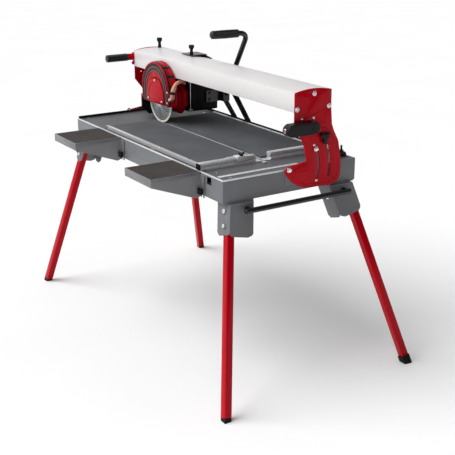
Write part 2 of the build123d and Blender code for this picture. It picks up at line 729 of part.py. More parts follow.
def guard_cover():
    x0 = -405.0
    x1 = -258.0
    r = (x1 - x0) / 2
    mid = (x0 + x1) / 2
    zc = 126.0
    left = Line((x0, 92), (x0, zc))
    arch = ThreePointArc((x0, zc), (mid, zc + r), (x1, zc))
    right = Line((x1, zc), (x1, 92))
    base = Line((x1, 92), (x0, 92))
    plane = Location(Plane(origin=(0, GUARD_Y0, 0), x_dir=(1, 0, 0), z_dir=(0, -1, 0)))
    cover = plane * extrude(make_face([left, arch, right, base]), 6)
    return chamfer(cover.edges().group_by(Axis.Y)[0], 2)


def splash_flap():
    x1 = HEAD_X - GUARD_R
    return along_x([(-52, 112), (8, 112), (8, 17), (-16, 17), (-52, 50)], x1 - 4, x1)


def water_hose():
    points = [(-262, 58, 176), (-226, 22, 192), (-207, -14, 190), (-205, -34, 162), (-206, -36, 140), (-214, -36, 120)]
    path = Spline(*points, tangents=[(1, -0.8, 0.3), (-1, 0, -0.4)])
    start = Plane(origin=path @ 0, z_dir=path % 0)
    tube = sweep(Location(start) * Circle(6.5), path)
    return tube


def handle_tube():
    y = 240.0
    low = (-222, y, 105)
    path = FilletPolyline(low, HANDLE_KNEE, HANDLE_TIP, radius=38)
    tube = sweep(Location(Plane(origin=path @ 0, z_dir=path % 0)) * Circle(HANDLE_TUBE_R), path)
    tube += span(-238, -206, 224, 256, 88, 140)
    tube += span(-238, -230, 150, 256, 88, 140)
    for z in (100.0, 128.0):
        tube -= rod((-240, 168, z), (-228, 168, z), 3.0)
    return tube


def handle_grip():
    """Rubber grip pushed over the level end of the tube, 10 mm beyond its end."""
    knee = Vector(*HANDLE_KNEE)
    tip = Vector(*HANDLE_TIP)
    along = (tip - knee).normalized()
    start = tip - along * 122
    end = tip + along * 10
    grip = rod(tuple(start), tuple(end), 18.0)
    grip = fillet(grip.edges().filter_by(GeomType.CIRCLE), 7)
    for i in range(10):
        t = radians(36 * i)
        off = Vector(18.6 * cos(t), 0, 18.6 * sin(t))
        grip -= rod(tuple(start + along * 16 + off), tuple(end - along * 16 + off), 2.2)
    return grip - rod(tuple(start - along * 5), tuple(tip), HANDLE_TUBE_R)


def head_screws():
    solids = []
    for x, z in ((-392.0, 104.0), (-271.0, 104.0), (-331.5, 188.0)):
        solids.append(rod((x, GUARD_Y0 - 9, z), (x, GUARD_Y0 - 6, z), 5.0))
    for x, z in ((-232.0, 104.0), (-232.0, 150.0)):
        solids.append(rod((x, GUARD_Y0 - 3, z), (x, GUARD_Y0, z), 5.0))
    for z in (100.0, 128.0):
        solids.append(rod((-238, 168, z), (-230, 168, z), 3.0) + rod((-230, 168, z), (-226, 168, z), 6.0))
    for x in (-398.0, -368.0, -308.0, -278.0):
        solids.append(rod((x, 175, 247), (x, 179, 247), 6.0))
    for x, z in ((-246.0, 60.0), (-422.0, 60.0), (-246.0, 182.0), (-422.0, 182.0)):
        solids.append(rod((x, 69, z), (x, 72, z), 4.0))
    return group(solids)


# ---------------------------------------------------------------- blade

def saw_blade():
    y0 = CUT_Y - BLADE_T / 2
    y1 = CUT_Y + BLADE_T / 2
    disc = rod((HEAD_X, y0, AXIS_Z), (HEAD_X, y1, AXIS_Z), BLADE_R)
    relief = BLADE_R - 9
    for a, b in ((y0 - 1, y0 + 0.3), (y1 - 0.3, y1 + 1)):
        groove = rod((HEAD_X, a, AXIS_Z), (HEAD_X, b, AXIS_Z), relief)
        groove -= rod((HEAD_X, a, AXIS_Z), (HEAD_X, b, AXIS_Z), 33.0)
        disc -= groove
    disc -= rod((HEAD_X, y0 - 1, AXIS_Z), (HEAD_X, y1 + 1, AXIS_Z), ARBOR_R)
    for i in range(6):
        slot = Pos(HEAD_X, CUT_Y, AXIS_Z) * (Rot(0, 60 * i, 0) * (Pos(66, 0, 0) * (Rot(0, 35, 0) * Box(38, 6, 3))))
        disc -= slot
    return disc


def blade_clamp():
    y0 = CUT_Y - BLADE_T / 2
    y1 = CUT_Y + BLADE_T / 2
    inner = rod((HEAD_X, y1, AXIS_Z), (HEAD_X, y1 + 5, AXIS_Z), 30.0)
    inner -= rod((HEAD_X, y1 - 1, AXIS_Z), (HEAD_X, y1 + 6, AXIS_Z), ARBOR_R)
    outer = rod((HEAD_X, y0 - 5, AXIS_Z), (HEAD_X, y0, AXIS_Z), 30.0)
    outer -= rod((HEAD_X, y0 - 6, AXIS_Z), (HEAD_X, y0 + 1, AXIS_Z), 7.0)
    prism = extrude(RegularPolygon(11, 6, major_radius=False), 9)
    nut = Location(Plane(origin=(HEAD_X, y0 - 5, AXIS_Z), x_dir=(1, 0, 0), z_dir=(0, -1, 0))) * prism
    nut -= rod((HEAD_X, y0 - 20, AXIS_Z), (HEAD_X, y0 - 4, AXIS_Z), 7.0)
    return group([inner, outer, nut])


def rotor_shaft():
    y0 = CUT_Y - BLADE_T / 2
    y1 = CUT_Y + BLADE_T / 2
    shaft = rod((HEAD_X, y0 - 16, AXIS_Z), (HEAD_X, y0, AXIS_Z), 7.0)
    shaft += rod((HEAD_X, y0, AXIS_Z), (HEAD_X, y1 + 5, AXIS_Z), ARBOR_R)
    shaft += rod((HEAD_X, y1 + 5, AXIS_Z), (HEAD_X, 58, AXIS_Z), 12.0)
    shaft += rod((HEAD_X, 58, AXIS_Z), (HEAD_X, 221, AXIS_Z), 8.5)
    shaft += rod((HEAD_X, 76, AXIS_Z), (HEAD_X, 200, AXIS_Z), 12.0)
    shaft += rod((HEAD_X, 98, AXIS_Z), (HEAD_X, 182, AXIS_Z), 26.0)
    fan = rod((HEAD_X, 223, AXIS_Z), (HEAD_X, 225, AXIS_Z), 24.0)
    for i in range(6):
        blade = Pos(HEAD_X, 227, AXIS_Z) * (Rot(0, 60 * i, 0) * (Pos(14, 0, 0) * Box(16, 6, 2)))
        fan += blade
    shaft += fan
    shaft += rod((HEAD_X, 220, AXIS_Z), (HEAD_X, 230, AXIS_Z), 7.0)
    return shaft


# ---------------------------------------------------------------- side tables and angle stop

def side_table(x0, x1):
    table = span(x0, x1, SIDE_OUT, SIDE_IN, SIDE_TOP - 2, SIDE_TOP)
    table += span(x0, x1, SIDE_OUT, SIDE_OUT + 2, SIDE_TOP - 26, SIDE_TOP)
    gusset = [(SIDE_OUT, SIDE_TOP), (SIDE_OUT, SIDE_TOP - 26), (SIDE_IN - 18, -98), (SIDE_IN, -92), (SIDE_IN, SIDE_TOP)]
    table += along_x(gusset, x0, x0 + 2)
    table += along_x(gusset, x1 - 2, x1)
    for a, b, knob in ((x0 - 30, x0 + 2, x0 - 16), (x1 - 2, x1 + 30, x1 + 16)):
        table += span(a, b, SIDE_IN - 2, SIDE_IN, -92, -8)
        table -= span(knob - 4.5, knob + 4.5, SIDE_IN - 4, SIDE_IN + 2, -100, -66)
    # raised lip round the mat
    lip = span(x0, x1, SIDE_OUT, SIDE_IN, SIDE_TOP, SIDE_TOP + 4)
    lip -= span(x0 + 3, x1 - 3, SIDE_OUT + 3, SIDE_IN - 3, SIDE_TOP - 1, SIDE_TOP + 5)
    return table + lip


def side_table_mat(x0, x1):
    mat = span(x0 + 3, x1 - 3, SIDE_OUT + 3, SIDE_IN - 3, SIDE_TOP, SIDE_TOP + 3)
    for i in range(15):
        y = SIDE_OUT + 12 + 13 * i
        mat -= span(x0 + 8, x1 - 8, y - 1.5, y + 1.5, SIDE_TOP + 2, SIDE_TOP + 5)
    return mat


def side_table_clamps():
    solids = []
    for x0, x1 in SIDE_TABLES.values():
        for x in (x0 - 16, x1 + 16):
            knob = rod((x, -HY, -72), (x, SIDE_IN - 2.5, -72), 4.0)
            knob += rod((x, SIDE_IN - 2.5, -72), (x, SIDE_IN - 16, -72), 8.0)
            for k in range(4):
                a = radians(45 + 90 * k)
                px = x + 9 * cos(a)
                pz = -72 + 9 * sin(a)
                knob += rod((px, SIDE_IN - 5, pz), (px, SIDE_IN - 17, pz), 6.0)
            solids.append(knob)
    return group(solids)


def angle_stop():
    plate = span(378, STOP_X0 - 0.3, -150, -44, MAT_TOP + 0.4, MAT_TOP + 4)
    plate = fillet(plate.edges().filter_by(Axis.Z).group_by(Axis.X)[0], 14)
    # a bracket folded over the stop rail
    y0 = STOP_KNOB_Y - 22
    y1 = STOP_KNOB_Y + 22
    stop = plate + span(STOP_X0 - 4.3, STOP_X0 - 0.3, y0, y1, MAT_TOP + 4, STOP_TOP + 3.3)
    stop += span(STOP_X0 - 4.3, STOP_X1 + 3.3, y0, y1, STOP_TOP + 0.3, STOP_TOP + 3.3)
    stop += span(STOP_X1 + 0.3, STOP_X1 + 3.3, y0, y1, STOP_TOP - 14, STOP_TOP + 3.3)
    stop -= rod((STOP_KNOB_X, STOP_KNOB_Y, STOP_TOP - 1), (STOP_KNOB_X, STOP_KNOB_Y, STOP_TOP + 5), 3.06)
    return stop


def angle_stop_knob():
    x = STOP_KNOB_X
    y = STOP_KNOB_Y
    knob = rod((x, y, STOP_TOP + 0.4), (x, y, STOP_TOP + 3.6), 3.0)
    knob += rod((x, y, STOP_TOP + 3.6), (x, y, STOP_TOP + 12.5), 8.0)
    knob += span(x - 4, x + 4, y - 15, y + 15, STOP_TOP + 4.5, STOP_TOP + 12.5)
    return knob


# ---------------------------------------------------------------- export

def main():
    os.makedirs("parts", exist_ok=True)
    corners = (("near", 1), ("far", -1))
    sides = (("left", -1), ("right", 1))
    brackets = []
    for end_name, end in corners:
        for side_name, side in sides:
            brackets.append(leg_bracket(end, side))
            save(leg_tube(end, side), "leg_" + end_name + "_" + side_name)
            save(leg_foot(end, side), "foot_" + end_name + "_" + side_name)
    save(group(brackets), "leg_brackets")
    save(carry_bar(brackets[0] + brackets[1]), "carry_bar")
    save(frame_bolts(), "frame_bolts")
    save(tub_frame(), "tub_frame")
    save(water_tray(), "water_tray")
    save(drain_plug(), "drain_plug")
    save(table_plate(), "table_plate")
    save(table_mats(), "table_mats")
    save(decks(), "decks")
    save(splash_lip(), "splash_lip")
    save(stop_rail(), "stop_rail")
    save(stop_rail_clamps(), "stop_rail_clamps")
    save(tilt_bolts(), "tilt_bolts")
    save(hose_stand(), "hose_stand")
    save(cooling_pump(), "cooling_pump")
    save(wheel(-1), "wheel_left")
    save(wheel(1), "wheel_right")
    save(guide_rail(), "guide_rail")
    save(end_plate(1), "end_plate_near")
    save(end_plate(-1), "end_plate_far")
    save(end_plate_bolts(), "end_plate_bolts")
    save(laser_housing(), "laser_housing")
    save(rear_grip(), "rear_grip")
    save(wing_knob(1), "tilt_knob_near")
    save(wing_knob(-1), "tilt_knob_far")
    save(waisted_knob(-592, 120, 288, 332, 274), "rail_knob")
    save(waisted_knob(-298, 117, 294.5, 334, 287.4), "carriage_knob")
    save(carriage(), "carriage")
    save(carriage_shoes(), "carriage_shoes")
    save(motor_flange(), "motor_flange")
    save(motor_housing(), "motor_housing")
    save(stator(), "stator")
    save(motor_bearings(), "motor_bearings")
    save(motor_end_cap(), "motor_end_cap")
    save(switch_rocker(), "switch_rocker")
    save(blade_guard(), "blade_guard")
    save(guard_cover(), "guard_cover")
    save(splash_flap(), "splash_flap")
    save(water_hose(), "water_hose")
    tube = handle_tube()
    save(tube, "handle_tube")
    save(handle_grip(), "handle_grip")
    save(head_screws(), "head_screws")
    save(saw_blade(), "saw_blade")
    save(blade_clamp(), "blade_clamp")
    save(rotor_shaft(), "rotor_shaft")
    for name, ends in SIDE_TABLES.items():
        save(side_table(*ends), "side_table_" + name)
        save(side_table_mat(*ends), "side_table_" + name + "_mat")
    save(side_table_clamps(), "side_table_clamps")
    save(angle_stop(), "angle_stop")
    save(angle_stop_knob(), "angle_stop_knob")


main()
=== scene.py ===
import json
from math import cos, pi, radians, sin

import bmesh
import bpy
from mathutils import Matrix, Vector


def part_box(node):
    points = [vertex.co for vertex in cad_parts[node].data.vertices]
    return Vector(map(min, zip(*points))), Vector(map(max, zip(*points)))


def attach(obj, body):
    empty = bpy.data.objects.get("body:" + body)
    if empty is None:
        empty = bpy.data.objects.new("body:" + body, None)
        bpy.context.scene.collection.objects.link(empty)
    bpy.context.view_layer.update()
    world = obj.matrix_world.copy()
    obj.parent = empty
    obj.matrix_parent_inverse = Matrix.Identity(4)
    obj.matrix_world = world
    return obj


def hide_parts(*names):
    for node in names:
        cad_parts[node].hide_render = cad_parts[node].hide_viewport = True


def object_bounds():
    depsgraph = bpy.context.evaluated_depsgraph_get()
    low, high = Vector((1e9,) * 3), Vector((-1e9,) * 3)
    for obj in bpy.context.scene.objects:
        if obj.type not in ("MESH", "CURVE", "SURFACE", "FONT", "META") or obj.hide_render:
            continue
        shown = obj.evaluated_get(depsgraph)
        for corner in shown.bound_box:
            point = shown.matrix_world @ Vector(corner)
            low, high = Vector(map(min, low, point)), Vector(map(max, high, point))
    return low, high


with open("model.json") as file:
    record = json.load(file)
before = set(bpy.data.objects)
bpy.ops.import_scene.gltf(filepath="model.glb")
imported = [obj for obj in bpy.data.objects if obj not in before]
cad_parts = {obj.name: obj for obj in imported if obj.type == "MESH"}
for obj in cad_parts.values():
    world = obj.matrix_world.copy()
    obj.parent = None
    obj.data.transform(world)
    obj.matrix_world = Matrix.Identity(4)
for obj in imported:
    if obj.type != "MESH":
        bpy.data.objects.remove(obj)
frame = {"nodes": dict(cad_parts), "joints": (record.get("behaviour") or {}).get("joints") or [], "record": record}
nodes = frame["nodes"]
cad_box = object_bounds()

# Looks of a bridge tile saw, built round its CAD frame.
# Detail pieces are drawn in machine millimetres: X and Y from the middle of the tub,
# z from its rim. place() turns them into metres in the CAD's frame.

MM = 0.001
DECK_BELOW_RIM = 2.0
TUB_END = 610            # half the length of the tub
tub_low, tub_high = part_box("tub_frame")
MIDDLE_X = (tub_low[0] + tub_high[0]) / 2
MIDDLE_Y = (tub_low[1] + tub_high[1]) / 2
RIM_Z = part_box("decks")[1][2] + DECK_BELOW_RIM * MM


def place(point):
    return Vector((MIDDLE_X + point[0] * MM, MIDDLE_Y + point[1] * MM, RIM_Z + point[2] * MM))


def machine(point):
    """The opposite of place()."""
    return Vector(((point[0] - MIDDLE_X) / MM, (point[1] - MIDDLE_Y) / MM, (point[2] - RIM_Z) / MM))


def machine_box(node):
    low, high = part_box(node)
    return machine(low), machine(high)


# ---------------------------------------------------------------- materials

EDGE = 0.9 * MM         # radius that the shaders round a sharp edge to


def new_material(name, colour, rough, metallic=0.0, **sockets):
    mat = bpy.data.materials.new(name)
    mat.use_nodes = True
    tree = mat.node_tree
    tree.nodes.clear()
    out = tree.nodes.new("ShaderNodeOutputMaterial")
    shader = tree.nodes.new("ShaderNodeBsdfPrincipled")
    tree.links.new(shader.outputs["BSDF"], out.inputs["Surface"])
    shader.inputs["Base Color"].default_value = (*colour, 1)
    shader.inputs["Roughness"].default_value = rough
    shader.inputs["Metallic"].default_value = metallic
    for socket, value in sockets.items():
        shader.inputs[socket.replace("_", " ")].default_value = value
    return mat, tree, shader


def coordinates(tree, stretch=(1, 1, 1)):
    coords = tree.nodes.new("ShaderNodeTexCoord")
    mapping = tree.nodes.new("ShaderNodeMapping")
    mapping.inputs["Scale"].default_value = stretch
    tree.links.new(coords.outputs["Object"], mapping.inputs["Vector"])
    return mapping.outputs["Vector"]


def noise(tree, scale, detail=3.0, stretch=(1, 1, 1)):
    tex = tree.nodes.new("ShaderNodeTexNoise")
    tex.inputs["Scale"].default_value = scale
    tex.inputs["Detail"].default_value = detail
    tree.links.new(coordinates(tree, stretch), tex.inputs["Vector"])
    return tex.outputs["Fac"]


def math_node(tree, operation, a, b=None):
    node = tree.nodes.new("ShaderNodeMath")
    node.operation = operation
    for i, value in enumerate((a, b)):
        if value is None:
            continue
        if isinstance(value, (int, float)):
            node.inputs[i].default_value = value
        else:
            tree.links.new(value, node.inputs[i])
    return node.outputs["Value"]


def between(tree, factor, low, high, start=0.0, stop=1.0):
    """A number that goes from low to high as factor goes from start to stop."""
    node = tree.nodes.new("ShaderNodeMapRange")
    node.inputs["From Min"].default_value = start
    node.inputs["From Max"].default_value = stop
    node.inputs["To Min"].default_value = low
    node.inputs["To Max"].default_value = high
    tree.links.new(factor, node.inputs["Value"])
    return node.outputs["Result"]


def ramp(tree, factor, stops):
    """Colours (position, colour) along a factor."""
    node = tree.nodes.new("ShaderNodeValToRGB")
    elements = node.color_ramp.elements
    while len(elements) < len(stops):
        elements.new(0.5)
    for element, (position, colour) in zip(elements, stops):
        element.position = position
        element.color = (*colour, 1)
    tree.links.new(factor, node.inputs["Fac"])
    return node.outputs["Color"]


def mix(tree, factor, a, b):
    node = tree.nodes.new("ShaderNodeMix")
    node.data_type = "RGBA"
    tree.links.new(factor, node.inputs["Factor"])
    for index, value in ((6, a), (7, b)):
        if isinstance(value, tuple):
            node.inputs[index].default_value = (*value, 1)
        else:
            tree.links.new(value, node.inputs[index])
    return node.outputs[2]


def rounded_normal(tree, radius=EDGE):
    node = tree.nodes.new("ShaderNodeBevel")
    node.samples = 4
    node.inputs["Radius"].default_value = radius
    return node.outputs["Normal"]


def relief(tree, shader, height, depth, normal):
    bump = tree.nodes.new("ShaderNodeBump")
    bump.inputs["Distance"].default_value = depth
    tree.links.new(height, bump.inputs["Height"])
    tree.links.new(normal, bump.inputs["Normal"])
    tree.links.new(bump.outputs["Normal"], shader.inputs["Normal"])


def edge_wear_highlight_mask(tree, normal):
    """1 on convex and concave edges, 0 on flat faces, broken up by noise. Where it is 1 the finish is painted
    lighter, partly as wear and partly as a painted highlight on the edges.
    """
    geometry = tree.nodes.new("ShaderNodeNewGeometry")
    dot = tree.nodes.new("ShaderNodeVectorMath")
    dot.operation = "DOT_PRODUCT"
    tree.links.new(normal, dot.inputs[0])
    tree.links.new(geometry.outputs["Normal"], dot.inputs[1])
    edge = between(tree, dot.outputs["Value"], 1.0, 0.0, 0.90, 0.995)
    patchiness = between(tree, noise(tree, 60, 5), 0.0, 1.0, 0.48, 0.62)
    return math_node(tree, "MULTIPLY", edge, patchiness)


def scaled(colour, k):
    return tuple(min(1.0, c * k) for c in colour)


def surface(name, colour, rough, metallic=0.0, spread=0.10, patch=7, grain=900, depth=0.03,
            stretch=(1, 1, 1), rough_spread=0.06, edge_wear_and_highlight=None, edge=EDGE, **sockets):
    """A solid finish: slow colour drift, fine grain in bump and roughness, and edges painted lighter, partly as
    wear and partly as painted highlight.
    """
    mat, tree, shader = new_material(name, colour, rough, metallic, **sockets)
    drift = noise(tree, patch, 4)
    body = ramp(tree, drift, [(0.32, scaled(colour, 1 - spread)), (0.68, scaled(colour, 1 + spread))])
    normal = rounded_normal(tree, edge)
    # the lighter edge colour is partly wear and partly a painted highlight where the edges catch the light
    if edge_wear_and_highlight:
        body = mix(tree, edge_wear_highlight_mask(tree, normal), body, edge_wear_and_highlight)
    tree.links.new(body, shader.inputs["Base Color"])
    fine = noise(tree, grain, 3, stretch)
    low, high = max(0.02, rough - rough_spread), rough + rough_spread
    tree.links.new(between(tree, fine, low, high, 0.3, 0.7), shader.inputs["Roughness"])
    relief(tree, shader, fine, depth * MM, normal)
    return mat


def granular_rubber(name, dark, light, grain=420, depth=0.35):
    """Rubber crumb: dark ground with paler grains and a pebbled relief."""
    mat, tree, shader = new_material(name, dark, 0.82, Specular_IOR_Level=0.35)
    cells = tree.nodes.new("ShaderNodeTexVoronoi")
    cells.inputs["Scale"].default_value = grain
    tree.links.new(coordinates(tree), cells.inputs["Vector"])
    speck = noise(tree, grain * 1.6, 2)
    drift = noise(tree, 9, 4)
    ground = ramp(tree, speck, [(0.40, dark), (0.62, light)])
    dusty = mix(tree, between(tree, drift, 0.0, 0.45, 0.42, 0.75), ground, scaled(light, 1.25))
    tree.links.new(dusty, shader.inputs["Base Color"])
    relief(tree, shader, cells.outputs["Distance"], depth * MM, rounded_normal(tree))
    return mat


def blade_steel(name, centre, rim_radius, outer_radius):
    """Ground steel: rings round the arbor, and a pale grit band along the rim."""
    mat, tree, shader = new_material(name, (0.60, 0.61, 0.61), 0.3, 1.0)
    coords = tree.nodes.new("ShaderNodeTexCoord")
    shift = tree.nodes.new("ShaderNodeVectorMath")
    shift.operation = "SUBTRACT"
    shift.inputs[1].default_value = centre
    tree.links.new(coords.outputs["Object"], shift.inputs[0])
    flat = tree.nodes.new("ShaderNodeVectorMath")
    flat.operation = "MULTIPLY"
    flat.inputs[1].default_value = (1, 0, 1)
    tree.links.new(shift.outputs["Vector"], flat.inputs[0])
    length = tree.nodes.new("ShaderNodeVectorMath")
    length.operation = "LENGTH"
    tree.links.new(flat.outputs["Vector"], length.inputs[0])
    radius = length.outputs["Value"]
    rings = tree.nodes.new("ShaderNodeTexNoise")
    rings.noise_dimensions = "1D"
    rings.inputs["Scale"].default_value = 2600
    tree.links.new(radius, rings.inputs["W"])
    core = ramp(tree, rings.outputs["Fac"], [(0.3, (0.40, 0.41, 0.41)), (0.7, (0.62, 0.63, 0.63))])
    grit = ramp(tree, noise(tree, 1500, 2), [(0.42, (0.62, 0.61, 0.57)), (0.6, (0.86, 0.85, 0.80))])
    on_rim = between(tree, radius, 0.0, 1.0, rim_radius - 0.3 * MM, rim_radius + 0.3 * MM)
    tree.links.new(mix(tree, on_rim, core, grit), shader.inputs["Base Color"])
    tree.links.new(between(tree, on_rim, 1.0, 0.25), shader.inputs["Metallic"])
    tree.links.new(between(tree, on_rim, 0.34, 0.75), shader.inputs["Roughness"])
    relief(tree, shader, rings.outputs["Fac"], 0.02 * MM, rounded_normal(tree, 0.4 * MM))
    return mat


def laminated_steel(name):
    """Stacked sheets along Y."""
    mat, tree, shader = new_material(name, (0.35, 0.35, 0.36), 0.4, 1.0)
    wave = tree.nodes.new("ShaderNodeTexWave")
    wave.bands_direction = "Y"
    wave.inputs["Scale"].default_value = 320
    wave.inputs["Distortion"].default_value = 0.2
    tree.links.new(coordinates(tree), wave.inputs["Vector"])
    sheets = ramp(tree, wave.outputs["Fac"], [(0.2, (0.20, 0.20, 0.21)), (0.8, (0.45, 0.45, 0.46))])
    tree.links.new(sheets, shader.inputs["Base Color"])
    relief(tree, shader, wave.outputs["Fac"], 0.05 * MM, rounded_normal(tree))
    return mat


RED = (0.43, 0.0010, 0.009)
GREY = (0.160, 0.163, 0.172)
BLACK = (0.006, 0.006, 0.0065)
SOFT = {"Specular_IOR_Level": 0.15}     # weak reflections, so that the paint keeps its depth

# Each lighter edge colour given below is partly wear and partly a painted highlight on the edges.
M = {
    "red": surface("gloss_red_paint", RED, 0.20, spread=0.07, grain=520, depth=0.012, rough_spread=0.03,
                   edge_wear_and_highlight=(0.55, 0.02, 0.03), Specular_IOR_Level=0.10),
    "dark_red": surface("shaded_red_plastic", (0.10, 0.003, 0.005), 0.16, spread=0.2, grain=520, depth=0.012,
                        rough_spread=0.03, Specular_IOR_Level=0.5),
    "grey": surface("grey_powder_coat", GREY, 0.44, spread=0.07, grain=1500, depth=0.05,
                    edge_wear_and_highlight=(0.42, 0.42, 0.44), **SOFT),
    "deck": surface("deck_powder_coat", (0.103, 0.106, 0.115), 0.48, spread=0.12, grain=1500, depth=0.05,
                    edge_wear_and_highlight=(0.36, 0.36, 0.38), **SOFT),
    "black_paint": surface("black_gloss_paint", BLACK, 0.24, spread=0.25, grain=700, depth=0.02,
                           edge_wear_and_highlight=(0.08, 0.08, 0.08), Specular_IOR_Level=0.45),
    "black_plastic": surface("black_moulded_plastic", (0.005, 0.005, 0.0055), 0.34, spread=0.25, grain=2200,
                             depth=0.06, edge_wear_and_highlight=(0.03, 0.03, 0.03), Specular_IOR_Level=0.2),
    "motor": surface("motor_casing_plastic", (0.002, 0.002, 0.0024), 0.46, spread=0.25, grain=2400,
                     depth=0.08, edge_wear_and_highlight=(0.02, 0.02, 0.02), **SOFT),
    "rubber": surface("black_rubber", (0.009, 0.009, 0.009), 0.68, spread=0.3, grain=1400, depth=0.10,
                      rough_spread=0.1, **SOFT),
    "grip": surface("grip_rubber", (0.010, 0.010, 0.010), 0.42, spread=0.3, grain=1800, depth=0.12,
                    rough_spread=0.1, Specular_IOR_Level=0.4),
    "rail": surface("pale_anodised_rail", (0.715, 0.692, 0.692), 0.36, 0.1, spread=0.02, patch=4, grain=260,
                    depth=0.01, stretch=(0.03, 1, 1), rough_spread=0.05, **SOFT),
    "alu": surface("extruded_aluminium", (0.74, 0.75, 0.76), 0.30, 0.7, spread=0.06, grain=420, depth=0.02,
                   stretch=(1, 0.03, 1), edge_wear_and_highlight=(0.95, 0.95, 0.95)),
    "alu_long": surface("edge_aluminium", (0.66, 0.67, 0.68), 0.34, 0.5, spread=0.06, grain=420, depth=0.02,
                        stretch=(0.03, 1, 1), edge_wear_and_highlight=(0.95, 0.95, 0.95)),
    "side_table": surface("side_table_sheet", (0.170, 0.170, 0.178), 0.36, 0.15, spread=0.08, grain=380,
                          depth=0.02, stretch=(0.05, 1, 1), edge_wear_and_highlight=(0.85, 0.85, 0.85), Specular_IOR_Level=0.35),
    "zinc": surface("zinc_plated_steel", (0.70, 0.71, 0.72), 0.24, 1.0, spread=0.12, patch=60, grain=900,
                    depth=0.01),
    "bearing": surface("ground_steel", (0.70, 0.71, 0.72), 0.12, 1.0, spread=0.05, grain=1200, depth=0.005),
    "tray": surface("tray_plastic", (0.02, 0.02, 0.023), 0.4, spread=0.2, grain=1200, depth=0.05, **SOFT),
    "hose": surface("tan_hose", (0.66, 0.30, 0.20), 0.30, spread=0.10, patch=30, grain=700, depth=0.02,
                    Specular_IOR_Level=0.4),
    "red_plastic": surface("red_rocker_plastic", (0.42, 0.01, 0.01), 0.25, spread=0.1, grain=900, depth=0.01),
    "pale_trim": surface("pale_trim", (0.70, 0.70, 0.71), 0.35, 0.3, spread=0.04, grain=500, depth=0.01,
                         stretch=(0.05, 1, 1)),
    "ink": surface("black_scale_ink", (0.02, 0.02, 0.02), 0.5, spread=0.2, grain=900, depth=0.01),
    "table_rubber": granular_rubber("granular_table_rubber", (0.046, 0.050, 0.054), (0.100, 0.108, 0.116)),
    "ribbed_rubber": granular_rubber("ribbed_side_rubber", (0.022, 0.018, 0.017), (0.050, 0.043, 0.040),
                                     700, 0.2),
    "core": laminated_steel("laminated_core"),
}

blade_low, blade_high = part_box("saw_blade")
BLADE = machine((Vector(blade_low) + Vector(blade_high)) / 2)
BLADE_RADIUS = (blade_high[0] - blade_low[0]) / 2 / MM
RIM_BAND = 9.0          # width of the grit band
ARBOR = 12.8
NOTCH = 2.4             # depth of the notches in the rim
M["blade"] = blade_steel("ground_blade_steel", place(BLADE), (BLADE_RADIUS - RIM_BAND) * MM,
                         BLADE_RADIUS * MM)
M["lens"] = surface("laser_lens", (0.60, 0.05, 0.02), 0.06, spread=0.25, patch=160, grain=700, depth=0.004,
                    rough_spread=0.03, Transmission_Weight=0.35, Coat_Weight=1.0)


# ---------------------------------------------------------------- mesh helpers

def link_piece(mesh, name, body, material, replaces=()):
    mesh.materials.clear()
    mesh.materials.append(material)
    piece = bpy.data.objects.new(name, mesh)
    bpy.context.scene.collection.objects.link(piece)
    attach(piece, body)
    if replaces:
        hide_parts(*replaces)
    return piece


def settled(piece):
    """Applies the modifiers, so that the piece is one plain mesh."""
    graph = bpy.context.evaluated_depsgraph_get()
    mesh = bpy.data.meshes.new_from_object(piece.evaluated_get(graph))
    piece.modifiers.clear()
    piece.data = mesh
    return piece


def smooth(piece, angle):
    for face in piece.data.polygons:
        face.use_smooth = True
    piece.data.set_sharp_from_angle(angle=radians(angle))


def make(bm, name, body, material, round_edges=0.0, angle=35, segments=2, replaces=()):
    """Turns a bmesh drawn in machine millimetres into a finished piece."""
    bmesh.ops.remove_doubles(bm, verts=bm.verts, dist=0.001)
    bmesh.ops.recalc_face_normals(bm, faces=bm.faces)
    for vert in bm.verts:
        vert.co = place(vert.co)
    mesh = bpy.data.meshes.new(name)
    bm.to_mesh(mesh)
    bm.free()
    piece = link_piece(mesh, name, body, material, replaces)
    if round_edges:
        bevel_edges(piece, round_edges, angle, segments)
    smooth(piece, angle)
    return piece


def bevel_edges(piece, width, angle, segments):
    bevel = piece.modifiers.new("edges", "BEVEL")
    bevel.width = width * MM
    bevel.segments = segments
    bevel.limit_method = "ANGLE"
    bevel.angle_limit = radians(angle)
    bevel.miter_outer = "MITER_ARC"
    settled(piece)


def rounded_node(node, width, material, angle=38, segments=2):
    """A copy of a CAD node with its edges rounded, which stands for it."""
    bm = bmesh.new()
    bm.from_mesh(nodes[node].data)
    bmesh.ops.remove_doubles(bm, verts=bm.verts, dist=0.002 * MM)
    bmesh.ops.dissolve_limit(bm, angle_limit=radians(0.6), verts=bm.verts, edges=bm.edges)
    mesh = bpy.data.meshes.new(node + "_form")
    bm.to_mesh(mesh)
    bm.free()
    piece = link_piece(mesh, node + "_form", BODY_OF[node], material, (node,))
    bevel_edges(piece, width, angle, segments)
    smooth(piece, 32)
    return piece


def basis(axis):
    """Two directions square to axis."""
    axis = Vector(axis).normalized()
    hint = Vector((0, 0, 1)) if abs(axis.z) < 0.9 else Vector((1, 0, 0))
    u = hint.cross(axis).normalized()
    return axis, u, axis.cross(u)


def skin(bm, rings, closed=False, caps=True):
    """Faces between rows of vertices, with the first and last row filled."""
    rows = [[bm.verts.new(p) for p in ring] for ring in rings]
    n = len(rows[0])
    count = len(rows) if closed else len(rows) - 1
    for i in range(count):
        a = rows[i]
        b = rows[(i + 1) % len(rows)]
        for j in range(n):
            k = (j + 1) % n
            bm.faces.new((a[j], a[k], b[k], b[j]))
    if caps and not closed:
        bm.faces.new(rows[0][::-1])
        bm.faces.new(rows[-1])


